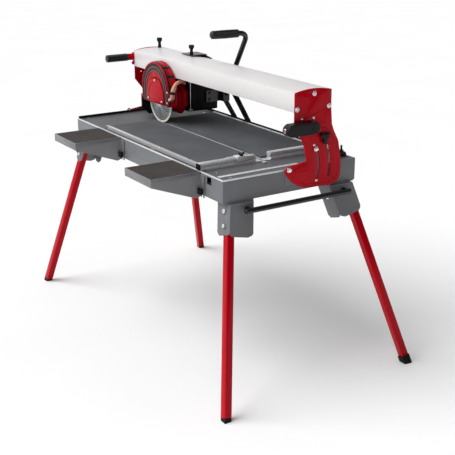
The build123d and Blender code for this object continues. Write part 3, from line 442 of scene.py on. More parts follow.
def lathe(bm, rings, origin, axis, turns=40, closed=False):
    """Solid of (radius, height) rings round an axis. A radius may be a function of the angle.
    A closed row of rings makes a ring-shaped solid."""
    axis, u, v = basis(axis)
    origin = Vector(origin)
    loops = []
    for radius, height in rings:
        loop = []
        for j in range(turns):
            angle = 2 * pi * j / turns
            r = radius(angle) if callable(radius) else radius
            loop.append(origin + axis * height + (u * cos(angle) + v * sin(angle)) * r)
        loops.append(loop)
    skin(bm, loops, closed)


def mirrored(rings):
    """Rings of one half, then the same rings on the other side."""
    return rings + [(radius, -height) for radius, height in reversed(rings)]


def slab(bm, x0, x1, y0, y1, z0, z1):
    corners = [(x0, y0), (x1, y0), (x1, y1), (x0, y1)]
    skin(bm, [[Vector((x, y, z)) for x, y in corners] for z in (z0, z1)])


def prism(bm, outline, direction):
    """A flat outline of points, thickened along direction."""
    shift = Vector(direction)
    skin(bm, [[Vector(p) for p in outline], [Vector(p) + shift for p in outline]])


def bead(bm, path, normal, half_width, height, closed=True):
    """A low rounded ridge along a flat path, standing up along normal."""
    normal = Vector(normal).normalized()
    points = [Vector(p) for p in path]
    section = [(cos(pi * k / 6) * half_width, sin(pi * k / 6) * height) for k in range(7)]
    section.append((-half_width, -0.3))
    section.append((half_width, -0.3))
    rings = []
    n = len(points)
    for i, p in enumerate(points):
        before = points[i - 1] if closed or i else p
        after = points[(i + 1) % n] if closed or i < n - 1 else p
        side = (after - before).normalized().cross(normal)
        rings.append([p + side * a + normal * b for a, b in section])
    skin(bm, rings, closed=closed)


def tube(bm, path, radius, turns=20):
    """A round tube along a list of points."""
    points = [Vector(p) for p in path]
    tangent = (points[1] - points[0]).normalized()
    u = basis(tangent)[1]
    rings = []
    for i, p in enumerate(points):
        before = points[max(i - 1, 0)]
        after = points[min(i + 1, len(points) - 1)]
        t = (after - before).normalized()
        u = (u - t * u.dot(t)).normalized()
        v = t.cross(u)
        rings.append([p + (u * cos(2 * pi * k / turns) + v * sin(2 * pi * k / turns)) * radius
                      for k in range(turns)])
    skin(bm, rings)


def smooth_path(points, steps):
    """Catmull-Rom curve through a list of points."""
    points = [Vector(p) for p in points]
    padded = [points[0] * 2 - points[1]] + points + [points[-1] * 2 - points[-2]]
    curve = []
    for i in range(1, len(padded) - 2):
        a, b, c, d = padded[i - 1:i + 3]
        for k in range(steps):
            t = k / steps
            curve.append(0.5 * (b * 2 + (c - a) * t + (a * 2 - b * 5 + c * 4 - d) * t * t
                                + (b * 3 - a - c * 3 + d) * t ** 3))
    curve.append(points[-1])
    return curve


def rounded_outline(corners, radius, steps=6):
    """A closed flat outline with each corner replaced by an arc-like curve."""
    points = [Vector(c) for c in corners]
    outline = []
    n = len(points)
    for i, corner in enumerate(points):
        a = points[i - 1]
        b = points[(i + 1) % n]
        start = corner + (a - corner).normalized() * min(radius, (a - corner).length / 2.01)
        stop = corner + (b - corner).normalized() * min(radius, (b - corner).length / 2.01)
        for k in range(steps + 1):
            t = k / steps
            outline.append(start * (1 - t) ** 2 + corner * (2 * t * (1 - t)) + stop * t * t)
    return outline


def hexagon(across):
    """Radius of a hexagonal socket at an angle."""
    return lambda angle: across / 2 / cos((angle % (pi / 3)) - pi / 6)


def cross_recess(arm, waist):
    """Radius of a cross recess at an angle."""
    def radius(angle):
        turn = (angle % (pi / 2)) / (pi / 2)
        return arm if turn < 0.14 or turn > 0.86 else waist
    return radius


def lobed(radius, depth, count, phase=0.0):
    """Radius of a knob with rounded lobes at an angle."""
    return lambda angle: radius - depth * (0.5 - 0.5 * cos(count * (angle - phase)))


def times(function, k):
    return lambda angle: function(angle) * k


def dome(radius, height, flat, low, angles):
    """Rings of a domed screw head, up to where its recess starts."""
    rings = [(radius * 0.97, 0.0), (radius, height * 0.12)]
    for a in angles:
        rings.append((radius * (flat + (1 - flat) * cos(a)), height * (low + (1 - low) * sin(a))))
    return rings


def socket_head(bm, centre, axis, radius, height):
    """Domed screw head with a hexagonal socket."""
    rings = dome(radius, height, 0.55, 0.35, (0, 0.35, 0.7, 1.05, 1.4))
    rings += [(hexagon(radius * 0.85), height), (hexagon(radius * 0.8), height * 0.35)]
    rings.append((radius * 0.05, height * 0.3))
    lathe(bm, rings, centre, axis, 36)


def cross_head(bm, centre, axis, radius, height):
    """Domed screw head with a cross recess."""
    rings = dome(radius, height, 0.45, 0.3, (0, 0.4, 0.8, 1.2, 1.5))
    rings += [(cross_recess(radius * 0.5, radius * 0.16), height)]
    rings += [(cross_recess(radius * 0.4, radius * 0.12), height * 0.4), (radius * 0.04, height * 0.3)]
    lathe(bm, rings, centre, axis, 40)


def hex_bolt(bm, centre, axis, across, height, washer=0.0):
    """Hexagon bolt head with a chamfered top on a washer."""
    if washer:
        lathe(bm, [(washer * 0.96, 0), (washer, 0.4), (washer, 1.2), (washer * 0.96, 1.6)], centre, axis, 36)
    flat = hexagon(across)
    rings = [(flat, 0.8 if washer else 0.0), (flat, height * 0.8)]
    rings += [(lambda angle: min(flat(angle), across * 0.53), height * 0.93), (across * 0.46, height)]
    lathe(bm, rings, centre, axis, 36)


BODY_OF = {node: body for body, members in frame["record"]["behaviour"]["bodies"].items() for node in members}
SLOT_OF = {entry["node"]: entry["material_slot"] for entry in frame["record"]["subparts"]}


# ---------------------------------------------------------------- CAD nodes

def dress_nodes():
    """Gives every CAD node its finish. Those with sheet or cast edges get a rounded copy."""
    finish_of_slot = {
        "tub_paint": "grey", "tray_plastic": "tray", "black_rubber": "rubber", "table_metal": "side_table",
        "table_rubber": "table_rubber", "deck_metal": "deck", "bar_aluminium": "alu",
        "black_plastic": "black_plastic", "fastener_steel": "zinc", "black_paint": "black_paint",
        "red_paint": "red", "rail_aluminium": "rail", "motor_plastic": "motor", "core_steel": "core",
        "bearing_steel": "bearing", "hose_rubber": "hose", "grip_rubber": "grip",
        "red_plastic": "red_plastic", "blade_steel": "blade", "ribbed_rubber": "ribbed_rubber",
    }
    own_finish = {"table_plate": "alu_long", "angle_stop": "pale_trim"}
    rounding = {
        "tub_frame": 1.0, "leg_brackets": 1.2, "end_plate_near": 0.9, "end_plate_far": 0.9, "guide_rail": 1.6,
        "stop_rail": 0.6, "side_table_far": 0.8, "side_table_near": 0.8, "motor_flange": 1.6,
        "hose_stand": 1.0, "angle_stop": 0.5, "carriage": 0.9, "guard_cover": 1.2, "blade_guard": 1.4,
        "laser_housing": 1.0, "motor_housing": 1.4, "motor_end_cap": 1.4, "splash_lip": 1.0, "carry_bar": 1.0,
    }
    for end in ("near", "far"):
        for side in ("left", "right"):
            rounding["leg_" + end + "_" + side] = 2.2
            rounding["foot_" + end + "_" + side] = 2.0
    for name, node in nodes.items():
        finish = M[own_finish.get(name, finish_of_slot[SLOT_OF[name]])]
        node.data.materials.clear()
        node.data.materials.append(finish)
        if name in rounding:
            rounded_node(name, rounding[name], finish)


# ---------------------------------------------------------------- bridge details

PLATE_FACE = machine_box("end_plate_near")[1].x
FAR_FACE = machine_box("end_plate_far")[0].x
# Y and z of the bolts into the rail's ends and of the screws in the end plates
RAIL_BOLTS = ((87, 271), (10.5, 219.5), (155.5, 219.5))
PLATE_SCREWS = ((33, 182), (86, 182), (92, 80), (107, -57))
# radius about the tilt axis and angle above the rim of the guide stud and of the lock knob
STUD = (137.0, 27.5)
LOCK = (188.0, 34.0)
TILT = 45


def end_plate_details():
    """Bolts, screws, pressed beads and slot rims of both end plates."""
    for end, face in ((1, PLATE_FACE), (-1, FAR_FACE)):
        name = "near" if end > 0 else "far"
        out = (end, 0, 0)
        bolts = bmesh.new()
        for y, z in RAIL_BOLTS:
            lathe(bolts, [(9.2, 0), (9.6, 0.5), (9.2, 1.2)], (face, y, z), out)
            socket_head(bolts, (face + end * 1.1, y, z), out, 7.5, 4.8)
        for y, z in PLATE_SCREWS:
            cross_head(bolts, (face, y, z), out, 5.4, 3.4)
        piece_name = "end_plate_screws_" + name
        replaced = ("end_plate_bolts",) if end > 0 else ()
        make(bolts, piece_name, "bridge", M["zinc"], replaces=replaced)
        beads = bmesh.new()
        panel = rounded_outline([(face, 30, 160), (face, 30, 262), (face, 142, 262), (face, 142, 160)], 8)
        bead(beads, panel, out, 1.6, 1.2)
        lower = [(face, 6, -14), (face, 74, -14), (face, 74, 90), (face, 98, 146), (face, 152, 136)]
        lower += [(face, 196, 76), (face, 208, 24), (face, 207, -54), (face, 172, -74), (face, 58, -66)]
        lower.append((face, 28, -56))
        bead(beads, rounded_outline(lower, 12), out, 1.6, 1.2)
        make(beads, "end_plate_beads_" + name, "bridge", M["red"], angle=60)
        rims = bmesh.new()
        for radius, middle in (STUD, LOCK):
            bead(rims, slot_outline(face, radius, middle), out, 0.9, 0.5)
        make(rims, "slot_rims_" + name, "bridge", M["red"], angle=60)


def slot_outline(x, radius, middle):
    """Outline of a curved slot about the tilt axis, just outside its edge."""
    half = 5.6
    slack = 2.6
    low = radians(middle - TILT - slack)
    high = radians(middle + slack)
    outer = []
    inner = []
    steps = 20
    for k in range(steps + 1):
        a = low + (high - low) * k / steps
        for r, row in ((radius + half, outer), (radius - half, inner)):
            row.append(Vector((x, BLADE.y + r * cos(a), r * sin(a))))
    ends = []
    for a, sign in ((high, 1), (low, -1)):
        centre = Vector((x, BLADE.y + radius * cos(a), radius * sin(a)))
        out = Vector((0, cos(a), sin(a)))
        along = Vector((0, -sin(a), cos(a))) * sign
        ends.append([centre + out * half * cos(t) + along * 1.6 * sin(t)
                     for t in (0.5, 1.1, 1.57, 2.04, 2.64)])
    return outer + ends[0] + inner[::-1] + ends[1][::-1]


def laser_details():
    """Battery door with ribs, and the lens in its bezel."""
    low, high = machine_box("laser_housing")
    seam = bmesh.new()
    y0, y1 = low.y + 12, high.y - 8
    corners = ((y0, low.z + 7), (y1, low.z + 7), (y1, high.z - 7), (y0, high.z - 7))
    bead(seam, rounded_outline([(high.x, y, z) for y, z in corners], 12), (1, 0, 0), 0.8, 0.5)
    for k in range(5):
        z = low.z + 13 + 3.6 * k
        slab(seam, high.x - 0.4, high.x + 0.5, y1 - 34, y1 - 14, z, z + 1.4)
    make(seam, "laser_battery_door", "bridge", M["black_plastic"], angle=60)
    lens = bmesh.new()
    eye = (low.x + 13, low.y + 1.5, (low.z + high.z) / 2)
    lathe(lens, [(5.2, -3), (5.2, 0.6), (4.6, 1.5), (2.5, 2.2), (0.3, 2.4)], eye, (0, -1, 0))
    make(lens, "laser_lens", "bridge", M["lens"])
    bezel = bmesh.new()
    lathe(bezel, [(8.6, -3), (8.6, 0.4), (7.8, 1.4), (5.6, 1.4), (5.4, 0.4), (5.4, -2.0)], eye, (0, -1, 0))
    make(bezel, "laser_bezel", "bridge", M["zinc"])


def rear_grip_detail():
    """Ribbed sleeve on the stub at the far end plate."""
    low, high = machine_box("rear_grip")
    centre = ((low.x + high.x) / 2, high.y, (low.z + high.z) / 2)
    length = high.y - low.y
    rings = [(6, 0), (6, length * 0.14), (15.5, length * 0.15), (16.8, length * 0.16), (16.8, length * 0.19)]
    start = length * 0.2
    count = 14
    step = (length - 6 - start) / count
    for k in range(count):
        s = start + step * k
        rings += [(15.4, s), (15.4, s + step * 0.3), (16.9, s + step * 0.45), (16.9, s + step * 0.85)]
    rings += [(16.6, length - 4), (14.5, length - 1.2), (9, length - 0.2), (0.5, length)]
    bm = bmesh.new()
    lathe(bm, rings, centre, (0, -1, 0), 36)
    make(bm, "rear_grip_sleeve", "bridge", M["grip"], replaces=("rear_grip",))


def tilt_knob_detail(end):
    """Three-lobed lock knob at one end of the bridge."""
    name = "tilt_knob_near" if end > 0 else "tilt_knob_far"
    joint = next(j for j in frame["joints"] if j["name"] == name + "_turn")
    centre = machine(joint["pos_m"])
    face = PLATE_FACE + 1 if end > 0 else FAR_FACE - 1
    origin = (face, centre.y, centre.z)
    arms = lobed(26, 15.5, 3, radians(30))
    bm = bmesh.new()
    rings = [(9.5, 0), (9.5, 3.4), (times(arms, 0.86), 3.6), (times(arms, 0.97), 4.6), (arms, 6.5)]
    rings += [(arms, 11.5), (times(arms, 0.96), 13.6), (times(arms, 0.86), 14.8), (times(arms, 0.5), 15.0)]
    rings += [(6, 15.0), (5, 13.6), (0.4, 13.6)]
    lathe(bm, rings, origin, (end, 0, 0), 60)
    make(bm, name + "_lobes", name, M["black_plastic"], replaces=(name,))


KNOB_HEIGHT = {"rail_knob": 44.0, "carriage_knob": 39.5}     # head above its base


def post_knob(name):
    """Waisted hand knob with a fluted head."""
    low, high = machine_box(name)
    centre = ((low.x + high.x) / 2, (low.y + high.y) / 2)
    base = high.z - KNOB_HEIGHT[name]
    radius = (high.x - low.x) / 2
    height = high.z - base
    flutes = lobed(radius, radius * 0.10, 14)
    bm = bmesh.new()
    rings = [(4, -(base - low.z)), (4, 0), (radius * 0.74, 0.2), (radius * 0.76, 1.5)]
    rings += [(radius * 0.6, height * 0.24), (radius * 0.52, height * 0.42), (radius * 0.58, height * 0.55)]
    rings.append((times(flutes, 0.86), height * 0.66))
    rings += [(flutes, height * 0.72), (flutes, height * 0.93), (times(flutes, 0.94), height * 0.98)]
    rings += [(radius * 0.78, height), (radius * 0.5, height - 0.8), (0.4, height - 0.9)]
    lathe(bm, rings, (centre[0], centre[1], base), (0, 0, 1), 56)
    make(bm, name + "_fluted", name, M["black_plastic"], replaces=(name,))


# ---------------------------------------------------------------- cutting head details

def arch(centre_x, centre_z, radius, y, low, steps=28):
    """Open outline of an arch: up one side, round and down the other."""
    points = [Vector((centre_x - radius, y, low))]
    for k in range(steps + 1):
        a = pi - pi * k / steps
        points.append(Vector((centre_x + radius * cos(a), y, centre_z + radius * sin(a))))
    points.append(Vector((centre_x + radius, y, low)))
    return points


def guard_details():
    """Rims, dark face, bands, black ridges along and across the band, seal, embossed cover and the head's screws.
    """
    low, high = machine_box("blade_guard")
    cx = (low.x + high.x) / 2
    radius = (high.x - low.x) / 2
    cz = high.z - radius
    front = low.y
    bm = bmesh.new()
    bead(bm, arch(cx, cz, radius - 3.5, front, low.z + 3), (0, -1, 0), 3.2, 3.0, closed=False)
    make(bm, "guard_front_rim", "head", M["red"], angle=60)
    bm = bmesh.new()
    ring_plate(bm, cx, cz, radius - 8, radius - 42, front, 1.6, low.z + 2)
    make(bm, "guard_dark_face", "head", M["dark_red"], angle=40)
    bm = bmesh.new()
    bead(bm, arch(cx, cz, radius - 13, front - 1.4, low.z + 3), (0, -1, 0), 4.6, 2.2, closed=False)
    bead(bm, arch(cx, cz, radius - 30, front - 1.4, low.z + 3), (0, -1, 0), 4.0, 1.8, closed=False)
    make(bm, "guard_black_bands", "head", M["black_plastic"], angle=60)
    # black raised ridges along the front of the guard's red band and across it at the listed angles
    bm = bmesh.new()
    hoop_ridge(bm, arch(cx, cz, radius - 0.6, front + 6.5, low.z + 4), cx, cz, 5.5, 2.4)
    for angle in (12, 34, 58, 96, 122, 150):
        cross_ridge(bm, cx, cz, radius, front + 1.0, high.y - 1.0, radians(angle), 6.5)
    make(bm, "guard_black_ridges", "head", M["black_plastic"], angle=60)
    bm = bmesh.new()
    hoop_ridge(bm, arch(cx, cz, radius - 0.3, high.y - 4.5, low.z + 4), cx, cz, 3.5, 2.2)
    make(bm, "guard_back_rim", "head", M["red"], angle=60)
    cover_low, cover_high = machine_box("guard_cover")
    mid = (cover_low.x + cover_high.x) / 2
    half = (cover_high.x - cover_low.x) / 2
    top = cover_high.z - half
    bm = bmesh.new()
    seal = arch(mid, top, half + 2.0, front, cover_low.z)
    bead(bm, seal, (0, -1, 0), 2.2, 3.2, closed=False)
    make(bm, "cover_seal", "head", M["rubber"], angle=60)
    bm = bmesh.new()
    bead(bm, arch(mid, top, half - 16, cover_low.y, cover_low.z + 16), (0, -1, 0), 3.0, 1.6, closed=False)
    face = cover_low.y
    slab(bm, mid - half + 16, mid + half - 16, face - 1.4, face + 0.5, cover_low.z + 12, cover_low.z + 16)
    make(bm, "cover_emboss", "head", M["red"], angle=60)
    bm = bmesh.new()
    for x, z in ((mid - half + 13, 104), (mid + half - 13, 104), (mid, cover_high.z - 11)):
        cross_head(bm, (x, cover_low.y - 0.2, z), (0, -1, 0), 5.2, 3.2)
    for z in (104, 150):
        socket_head(bm, (-232, front - 0.2, z), (0, -1, 0), 5.4, 3.4)
    for x, z in ((-246, 60), (-422, 60), (-246, 182), (-422, 182)):
        socket_head(bm, (x, 72, z), (0, -1, 0), 4.2, 3.4)
    for x in (-398, -368, -308, -278):
        hex_bolt(bm, (x, 175, 247), (0, 1, 0), 10.0, 5.0, 6.8)
    make(bm, "head_screw_set", "head", M["zinc"], replaces=("head_screws",))


def ring_plate(bm, cx, cz, outer, inner, y, thick, low_z):
    """Flat arch-shaped band on the guard's face."""
    rings = []
    for point, far in zip(arch(cx, cz, outer, y, low_z, 40), arch(cx, cz, inner, y, low_z, 40)):
        back = Vector((0, 0.6, 0))
        step = Vector((0, -thick, 0))
        rings.append([point + back, point + step, far + step, far + back])
    skin(bm, rings)


def cross_ridge(bm, cx, cz, radius, y0, y1, angle, half_width):
    """A raised ridge across the guard's outer band."""
    out = Vector((cos(angle), 0, sin(angle)))
    along = Vector((-sin(angle), 0, cos(angle)))
    rings = []
    for k in range(5):
        t = -1 + k / 2
        base = Vector((cx, 0, cz)) + out * (radius * cos(t * half_width / radius)) + along * t * half_width
        rise = 2.0 * (1 - t * t * 0.5)
        section = [(y0, -0.5), (y0, rise * 0.6), (y0 + 1.5, rise)]
        section += [(y1 - 1.5, rise), (y1, rise * 0.6), (y1, -0.5)]
        rings.append([base + Vector((0, y, 0)) + out * lift for y, lift in section])
    skin(bm, rings)


def handle_bolts():
    """Two bolts that hold the handle's foot."""
    bm = bmesh.new()
    for z in (100, 128):
        hex_bolt(bm, (-230, 168, z), (1, 0, 0), 10.5, 5.0, 7.0)
        lathe(bm, [(2.9, 0), (2.9, 8.5)], (-238.2, 168, z), (1, 0, 0), 20)
    make(bm, "handle_bolts", "head", M["black_paint"])


def hoop_ridge(bm, path, cx, cz, half_width, height):
    """A ridge over the outside of the guard's band."""
    rings = []
    for p in path:
        out = Vector((p.x - cx, 0, max(p.z - cz, 0))).normalized()
        ring = []
        for k in range(7):
            a = pi * k / 6
            ring.append(p + Vector((0, cos(a) * half_width, 0)) + out * sin(a) * height)
        ring.append(p + Vector((0, -half_width, 0)) - out * 0.3)
        ring.append(p + Vector((0, half_width, 0)) - out * 0.3)
        rings.append(ring)
    skin(bm, rings)


def flap_details():
    """Ribs across the rubber flap and the strip that clamps it."""
    low, high = machine_box("splash_flap")
    bm = bmesh.new()
    y = low.y + 4
    while y < high.y - 2:
        z0 = low.z + 6 + max(0.0, (low.y + 40 - y) * 0.8)
        slab(bm, low.x - 1.0, high.x + 1.0, y, y + 2.0, z0, high.z - 8)
        y += 4.6
    make(bm, "flap_ribs", "head", M["rubber"], 0.4)
    bm = bmesh.new()
    slab(bm, high.x - 0.5, high.x + 3, low.y + 2, high.y - 2, high.z - 14, high.z - 2)
    make(bm, "flap_strip", "head", M["zinc"], 0.8)


def motor_details():
    """Gasket, side ribs, bands and case screws of the motor."""
    low, high = machine_box("motor_housing")
    bm = bmesh.new()
    corners = [(low.x, low.z), (high.x, low.z), (high.x, high.z), (low.x, high.z)]
    ring = rounded_outline([(x, 73.2, z) for x, z in corners], 10, 8)
    centre = Vector(((low.x + high.x) / 2, 0, (low.z + high.z) / 2))
    rings = []
    for p in ring:
        out = Vector((p.x - centre.x, 0, p.z - centre.z)).normalized()
        rings.append([p + out * 0.7 + Vector((0, -1.0, 0)), p + out * 0.7 + Vector((0, 1.0, 0)),
                      p - out * 1.5 + Vector((0, 1.0, 0)), p - out * 1.5 + Vector((0, -1.0, 0))])
    skin(bm, rings, closed=True)
    make(bm, "motor_gasket", "head", M["alu"])
    ribs = bmesh.new()
    for k in range(9):
        z = low.z + 22 + 12 * k
        slab(ribs, high.x - 0.5, high.x + 1.6, 104, 196, z, z + 4)
        slab(ribs, low.x - 1.6, low.x + 0.5, 104, 196, z, z + 4)
    make(ribs, "motor_side_ribs", "head", M["motor"], 0.7)
    band = bmesh.new()
    slab(band, high.x - 0.5, high.x + 1.2, 84, 92, low.z + 12, high.z - 12)
    slab(band, low.x - 1.2, low.x + 0.5, 84, 92, low.z + 12, high.z - 12)
    make(band, "motor_bands", "head", M["motor"], 0.5)
    screw = bmesh.new()
    for x in (low.x, high.x):
        side = 1 if x > BLADE.x else -1
        for z in (low.z + 9, high.z - 9):
            cross_head(screw, (x, 80, z), (side, 0, 0), 3.6, 2.2)
    make(screw, "motor_case_screws", "head", M["zinc"])


def hose_details():
    """Hose from the motor side, a thick sleeve with a black clip, and an elbow into the guard."""
    control = [(-262, 58, 176), (-244, 40, 189), (-226, 22, 193), (-213, 2, 194), (-207, -16, 188)]
    control += [(-204, -28, 175), (-204, -34, 160), (-205, -36, 145), (-206, -36, 132), (-209, -36, 124)]
    path = smooth_path(control, 6)
    bm = bmesh.new()
    tube(bm, path, 7.6)
    make(bm, "hose_run", "head", M["hose"], replaces=("water_hose",))
    bm = bmesh.new()
    sleeve = smooth_path([(-205, -24, 178), (-204, -32, 162), (-204.5, -36, 146), (-206, -36, 130)], 6)
    tube(bm, sleeve, 10.2, 28)
    make(bm, "hose_sleeve", "head", M["hose"])
    bm = bmesh.new()
    rings = [(10.0, -5.5), (11.8, -5.5), (12.2, -4.5), (12.2, 4.5), (11.8, 5.5), (10.0, 5.5)]
    lathe(bm, rings, (-204.3, -34.6, 151), (0.0, -0.22, -0.97), 32)
    slab(bm, -208, -201, -50, -44, 146.5, 155)
    make(bm, "hose_clip", "head", M["black_plastic"])
    bm = bmesh.new()
    rings = [(8.0, -4), (9.6, -4), (10.6, -2.5), (10.6, 5), (9.0, 7.5), (5, 8.5)]
    lathe(bm, rings, (-208, -36, 127), (-0.75, 0, -0.66), 32)
    hex_bolt(bm, (-213, -45.0, 122), (0, -1, 0), 11, 4.5, 7.4)
    make(bm, "hose_elbow", "head", M["zinc"])


def grip_detail():
    """Fluted sleeve on the level end of the handle tube."""
    low, high = machine_box("handle_grip")
    axis = Vector((-0.0295, -1, 0.006))
    length = high.y - low.y
    start = Vector(((low.x + high.x) / 2 + 1.6, high.y, (low.z + high.z) / 2 - 0.2))
    r = (high.z - low.z) / 2 - 0.9
    flutes = lobed(r, r * 0.13, 12)
    rings = [(11.2, 0), (r * 0.80, 0.0), (r * 0.93, 1.5), (r * 0.97, 4), (r * 0.97, 9)]
    rings.append((times(flutes, 0.97), 13))
    for k in range(9):
        s = 16 + (length - 36) * k / 8
        rings.append((times(flutes, 1.0 - 0.02 * cos(pi * k / 4)), s))
    rings += [(times(flutes, 0.98), length - 14), (r * 0.96, length - 10), (r * 0.88, length - 5)]
    rings += [(r * 0.68, length - 1.8), (r * 0.35, length - 0.4), (0.5, length)]
    bm = bmesh.new()
    lathe(bm, rings, start, axis, 72)
    make(bm, "handle_grip_sleeve", "head", M["grip"], replaces=("handle_grip",))


def blade_details():
    """Disc with a thicker notched rim, and curved marks on both faces."""
    edge = BLADE_RADIUS
    band = edge - RIM_BAND
    front = [(ARBOR, -0.8), (33, -0.8), (band, -0.8), (band + 0.4, -1.1), (edge, -1.1)]
    turns = 180
    rows = []
    for radius, dy in mirrored(front):
        row = []
        for k in range(turns):
            a = 2 * pi * k / turns
            r = radius - NOTCH if radius == edge and k % 12 == 0 else radius
            row.append(Vector((BLADE.x + r * cos(a), BLADE.y + dy, BLADE.z + r * sin(a))))
        rows.append(row)
    bm = bmesh.new()
    skin(bm, rows, closed=True)
    make(bm, "blade_disc", "blade", M["blade"], angle=30, replaces=("saw_blade",))
    marks = bmesh.new()
    for side in (-1, 1):
        for group in range(6):
            for arc in range(3):
                base = radians(60 * group + 7 * arc)
                path = []
                for k in range(13):
                    t = k / 12
                    radius = 40 + 44 * t - 3.0 * arc
                    a = base + radians(40) * t * (1 - 0.25 * t)
                    path.append((BLADE.x + radius * cos(a), BLADE.y + side * 0.8, BLADE.z + radius * sin(a)))
                bead(marks, path, (0, side, 0), 1.25, 0.12, closed=False)
    make(marks, "blade_marks", "blade", M["ink"])


# ---------------------------------------------------------------- base details

def scale_strip():
    """Scale on the near deck and ticks along the stop rail."""
    bm = bmesh.new()
    slab(bm, 545, 563, -282, 66, -2.2, -0.6)
    make(bm, "deck_scale", "base", M["pale_trim"], 0.4)
    ticks = bmesh.new()
    for k in range(68):
        y = -276 + 5 * k
        length = 12 if k % 10 == 0 else 8 if k % 5 == 0 else 4.5
        slab(ticks, 547, 547 + length, y - 0.5, y + 0.5, -0.7, -0.45)
    make(ticks, "deck_scale_ticks", "base", M["ink"])
    low, high = machine_box("stop_rail")
    marks = bmesh.new()
    count = 0
    for start, stop in ((low.y + 10, -58), (20, high.y - 10)):
        y = start
        while y < stop:
            length = 9 if count % 10 == 0 else 6 if count % 5 == 0 else 3.5
            slab(marks, low.x + 1.5, low.x + 1.5 + length, y - 0.4, y + 0.4, high.z - 0.2, high.z + 0.12)
            y += 5
            count += 1
    make(marks, "stop_rail_ticks", "base", M["ink"])


def rim_highlight_strips():
    """Pale strips along two rims of the tub, a painted highlight on their rolled edges."""
    bm = bmesh.new()
    slab(bm, -609, 609, -300.5, -296.5, -3.5, 1.2)
    slab(bm, 606.5, 610.5, -300, -36, -3.5, 1.2)
    make(bm, "rim_highlight_strip", "base", M["pale_trim"], 0.6)


def table_screws():
    """Screws in the table's edges and in the decks."""
    bm = bmesh.new()
    for x in (-340, -120, 100, 320):
        for y in (-268, 268):
            cross_head(bm, (x, y, 10), (0, 0, 1), 4.0, 2.4)
    for x in (-588, -400, 500, 588):
        for y in (-255, 240):
            cross_head(bm, (x, y, -2), (0, 0, 1), 6.0, 3.2)
    make(bm, "deck_screw_set", "base", M["zinc"])


def wheel_details(side):
    """Grooved tyre and spoked hub of one wheel."""
    name = "wheel_left" if side < 0 else "wheel_right"
    low, high = machine_box(name)
    centre = (low + high) / 2
    r = (high.x - low.x) / 2
    half = (high.y - low.y) / 2
    tread = lobed(r, 1.6, 36)
    bm = bmesh.new()
    w = 17.0
    tyre = [(r * 0.70, -w * 0.72), (r * 0.76, -w * 0.95), (r * 0.90, -w), (r * 0.97, -w * 0.86)]
    tyre += [(tread, -w * 0.6), (tread, -w * 0.1), (r * 0.965, -w * 0.05)]
    lathe(bm, mirrored(tyre), centre, (0, 1, 0), 144, closed=True)
    make(bm, name + "_tyre", name, M["rubber"], replaces=(name,))
    hub = bmesh.new()
    web = 6.0
    rings = [(5.3, -half), (12, -half), (13, -half + 1.5), (14, -web), (r * 0.62, -web), (r * 0.68, -12)]
    lathe(hub, mirrored(rings + [(r * 0.715, -12)]), centre, (0, 1, 0), 72, closed=True)
    axis, u, v = basis((0, 1, 0))
    for k in range(6):
        a = 2 * pi * k / 6
        spoke = u * cos(a) + v * sin(a)
        across = axis.cross(spoke)
        for h in (-1, 1):
            base = centre + axis * h * (web - 1)
            outline = [base + spoke * 13 + across * 3, base + spoke * 40 + across * 2,
                       base + spoke * 40 - across * 2, base + spoke * 13 - across * 3]
            prism(hub, outline, axis * h * 6)
    make(hub, name + "_hub", name, M["red"], 0.5)


def clamp_knobs():
    """Four-lobed knobs of the side tables' clamp screws."""
    low = machine_box("side_table_clamps")[0]
    bm = bmesh.new()
    tables = [machine_box("side_table_far"), machine_box("side_table_near")]
    arms = lobed(15, 5, 4, radians(45))
    for table_low, table_high in tables:
        for x in (table_low.x + 14, table_high.x - 14):
            rings = [(4, -2), (8, -2), (8, 2.5), (times(arms, 0.85), 2.7), (times(arms, 0.97), 3.6)]
            rings += [(arms, 5.5), (arms, 12), (times(arms, 0.95), 13.8), (times(arms, 0.8), 14.6)]
            rings += [(6, 14.6), (5, 13.4), (0.4, 13.4)]
            lathe(bm, rings, (x, table_high.y - 2.5, low.z + 15.4), (0, -1, 0), 48)
    make(bm, "clamp_knob_set", "base", M["black_plastic"], replaces=("side_table_clamps",))


def angle_stop_wing():
    """Butterfly nut: a round foot with a wing standing up on each side."""
    low, high = machine_box("angle_stop_knob")
    centre = (low + high) / 2
    reach = (high.y - low.y) / 2
    foot = low.z + 8
    top = high.z + 5
    bm = bmesh.new()
    rings = [(3, low.z - foot), (3, -4), (6.8, -3.8), (7.6, -3), (7.6, 0)]
    rings += [(6.2, 3), (4.4, 4), (3.0, 4), (2.6, 3.2), (0.3, 3.2)]
    lathe(bm, rings, (centre.x, centre.y, foot), (0, 0, 1), 40)
    for side in (-1, 1):
        outline = [(3.0, foot - 2), (reach - 4, foot), (reach, top), (reach - 6, top), (4.5, foot + 5)]
        corners = [(centre.x - 1.7, centre.y + side * y, z) for y, z in outline]
        prism(bm, rounded_outline(corners, 2.0, 4), (3.4, 0, 0))
    make(bm, "angle_stop_wing", "angle_stop_knob", M["black_plastic"], 0.5,
         replaces=("angle_stop_knob",))


def tilt_bolt_heads():
    """Pivot bolt and guide stud at each end, which stay on the tub while the bridge tilts."""
    bm = bmesh.new()
    radius = STUD[0]
    a = radians(STUD[1])
    pivot = (BLADE.y, 0)
    stud = (BLADE.y + radius * cos(a), radius * sin(a))
    for end in (-1, 1):
        face = (PLATE_FACE if end > 0 else FAR_FACE)
        start = TUB_END * end
        for (y, z), across, washer in ((pivot, 14.5, 9.6), (stud, 12.5, 9.4)):
            hex_bolt(bm, (face + end * 0.5, y, z), (end, 0, 0), across, 7.4, washer)
        for (y, z), shank in ((pivot, 5.0), (stud, 4.0)):
            lathe(bm, [(shank, 0), (shank, abs(face - start) + 0.6)], (start, y, z), (end, 0, 0), 24)
    make(bm, "tilt_bolt_heads", "base", M["zinc"], replaces=("tilt_bolts",))


# ---------------------------------------------------------------- stage

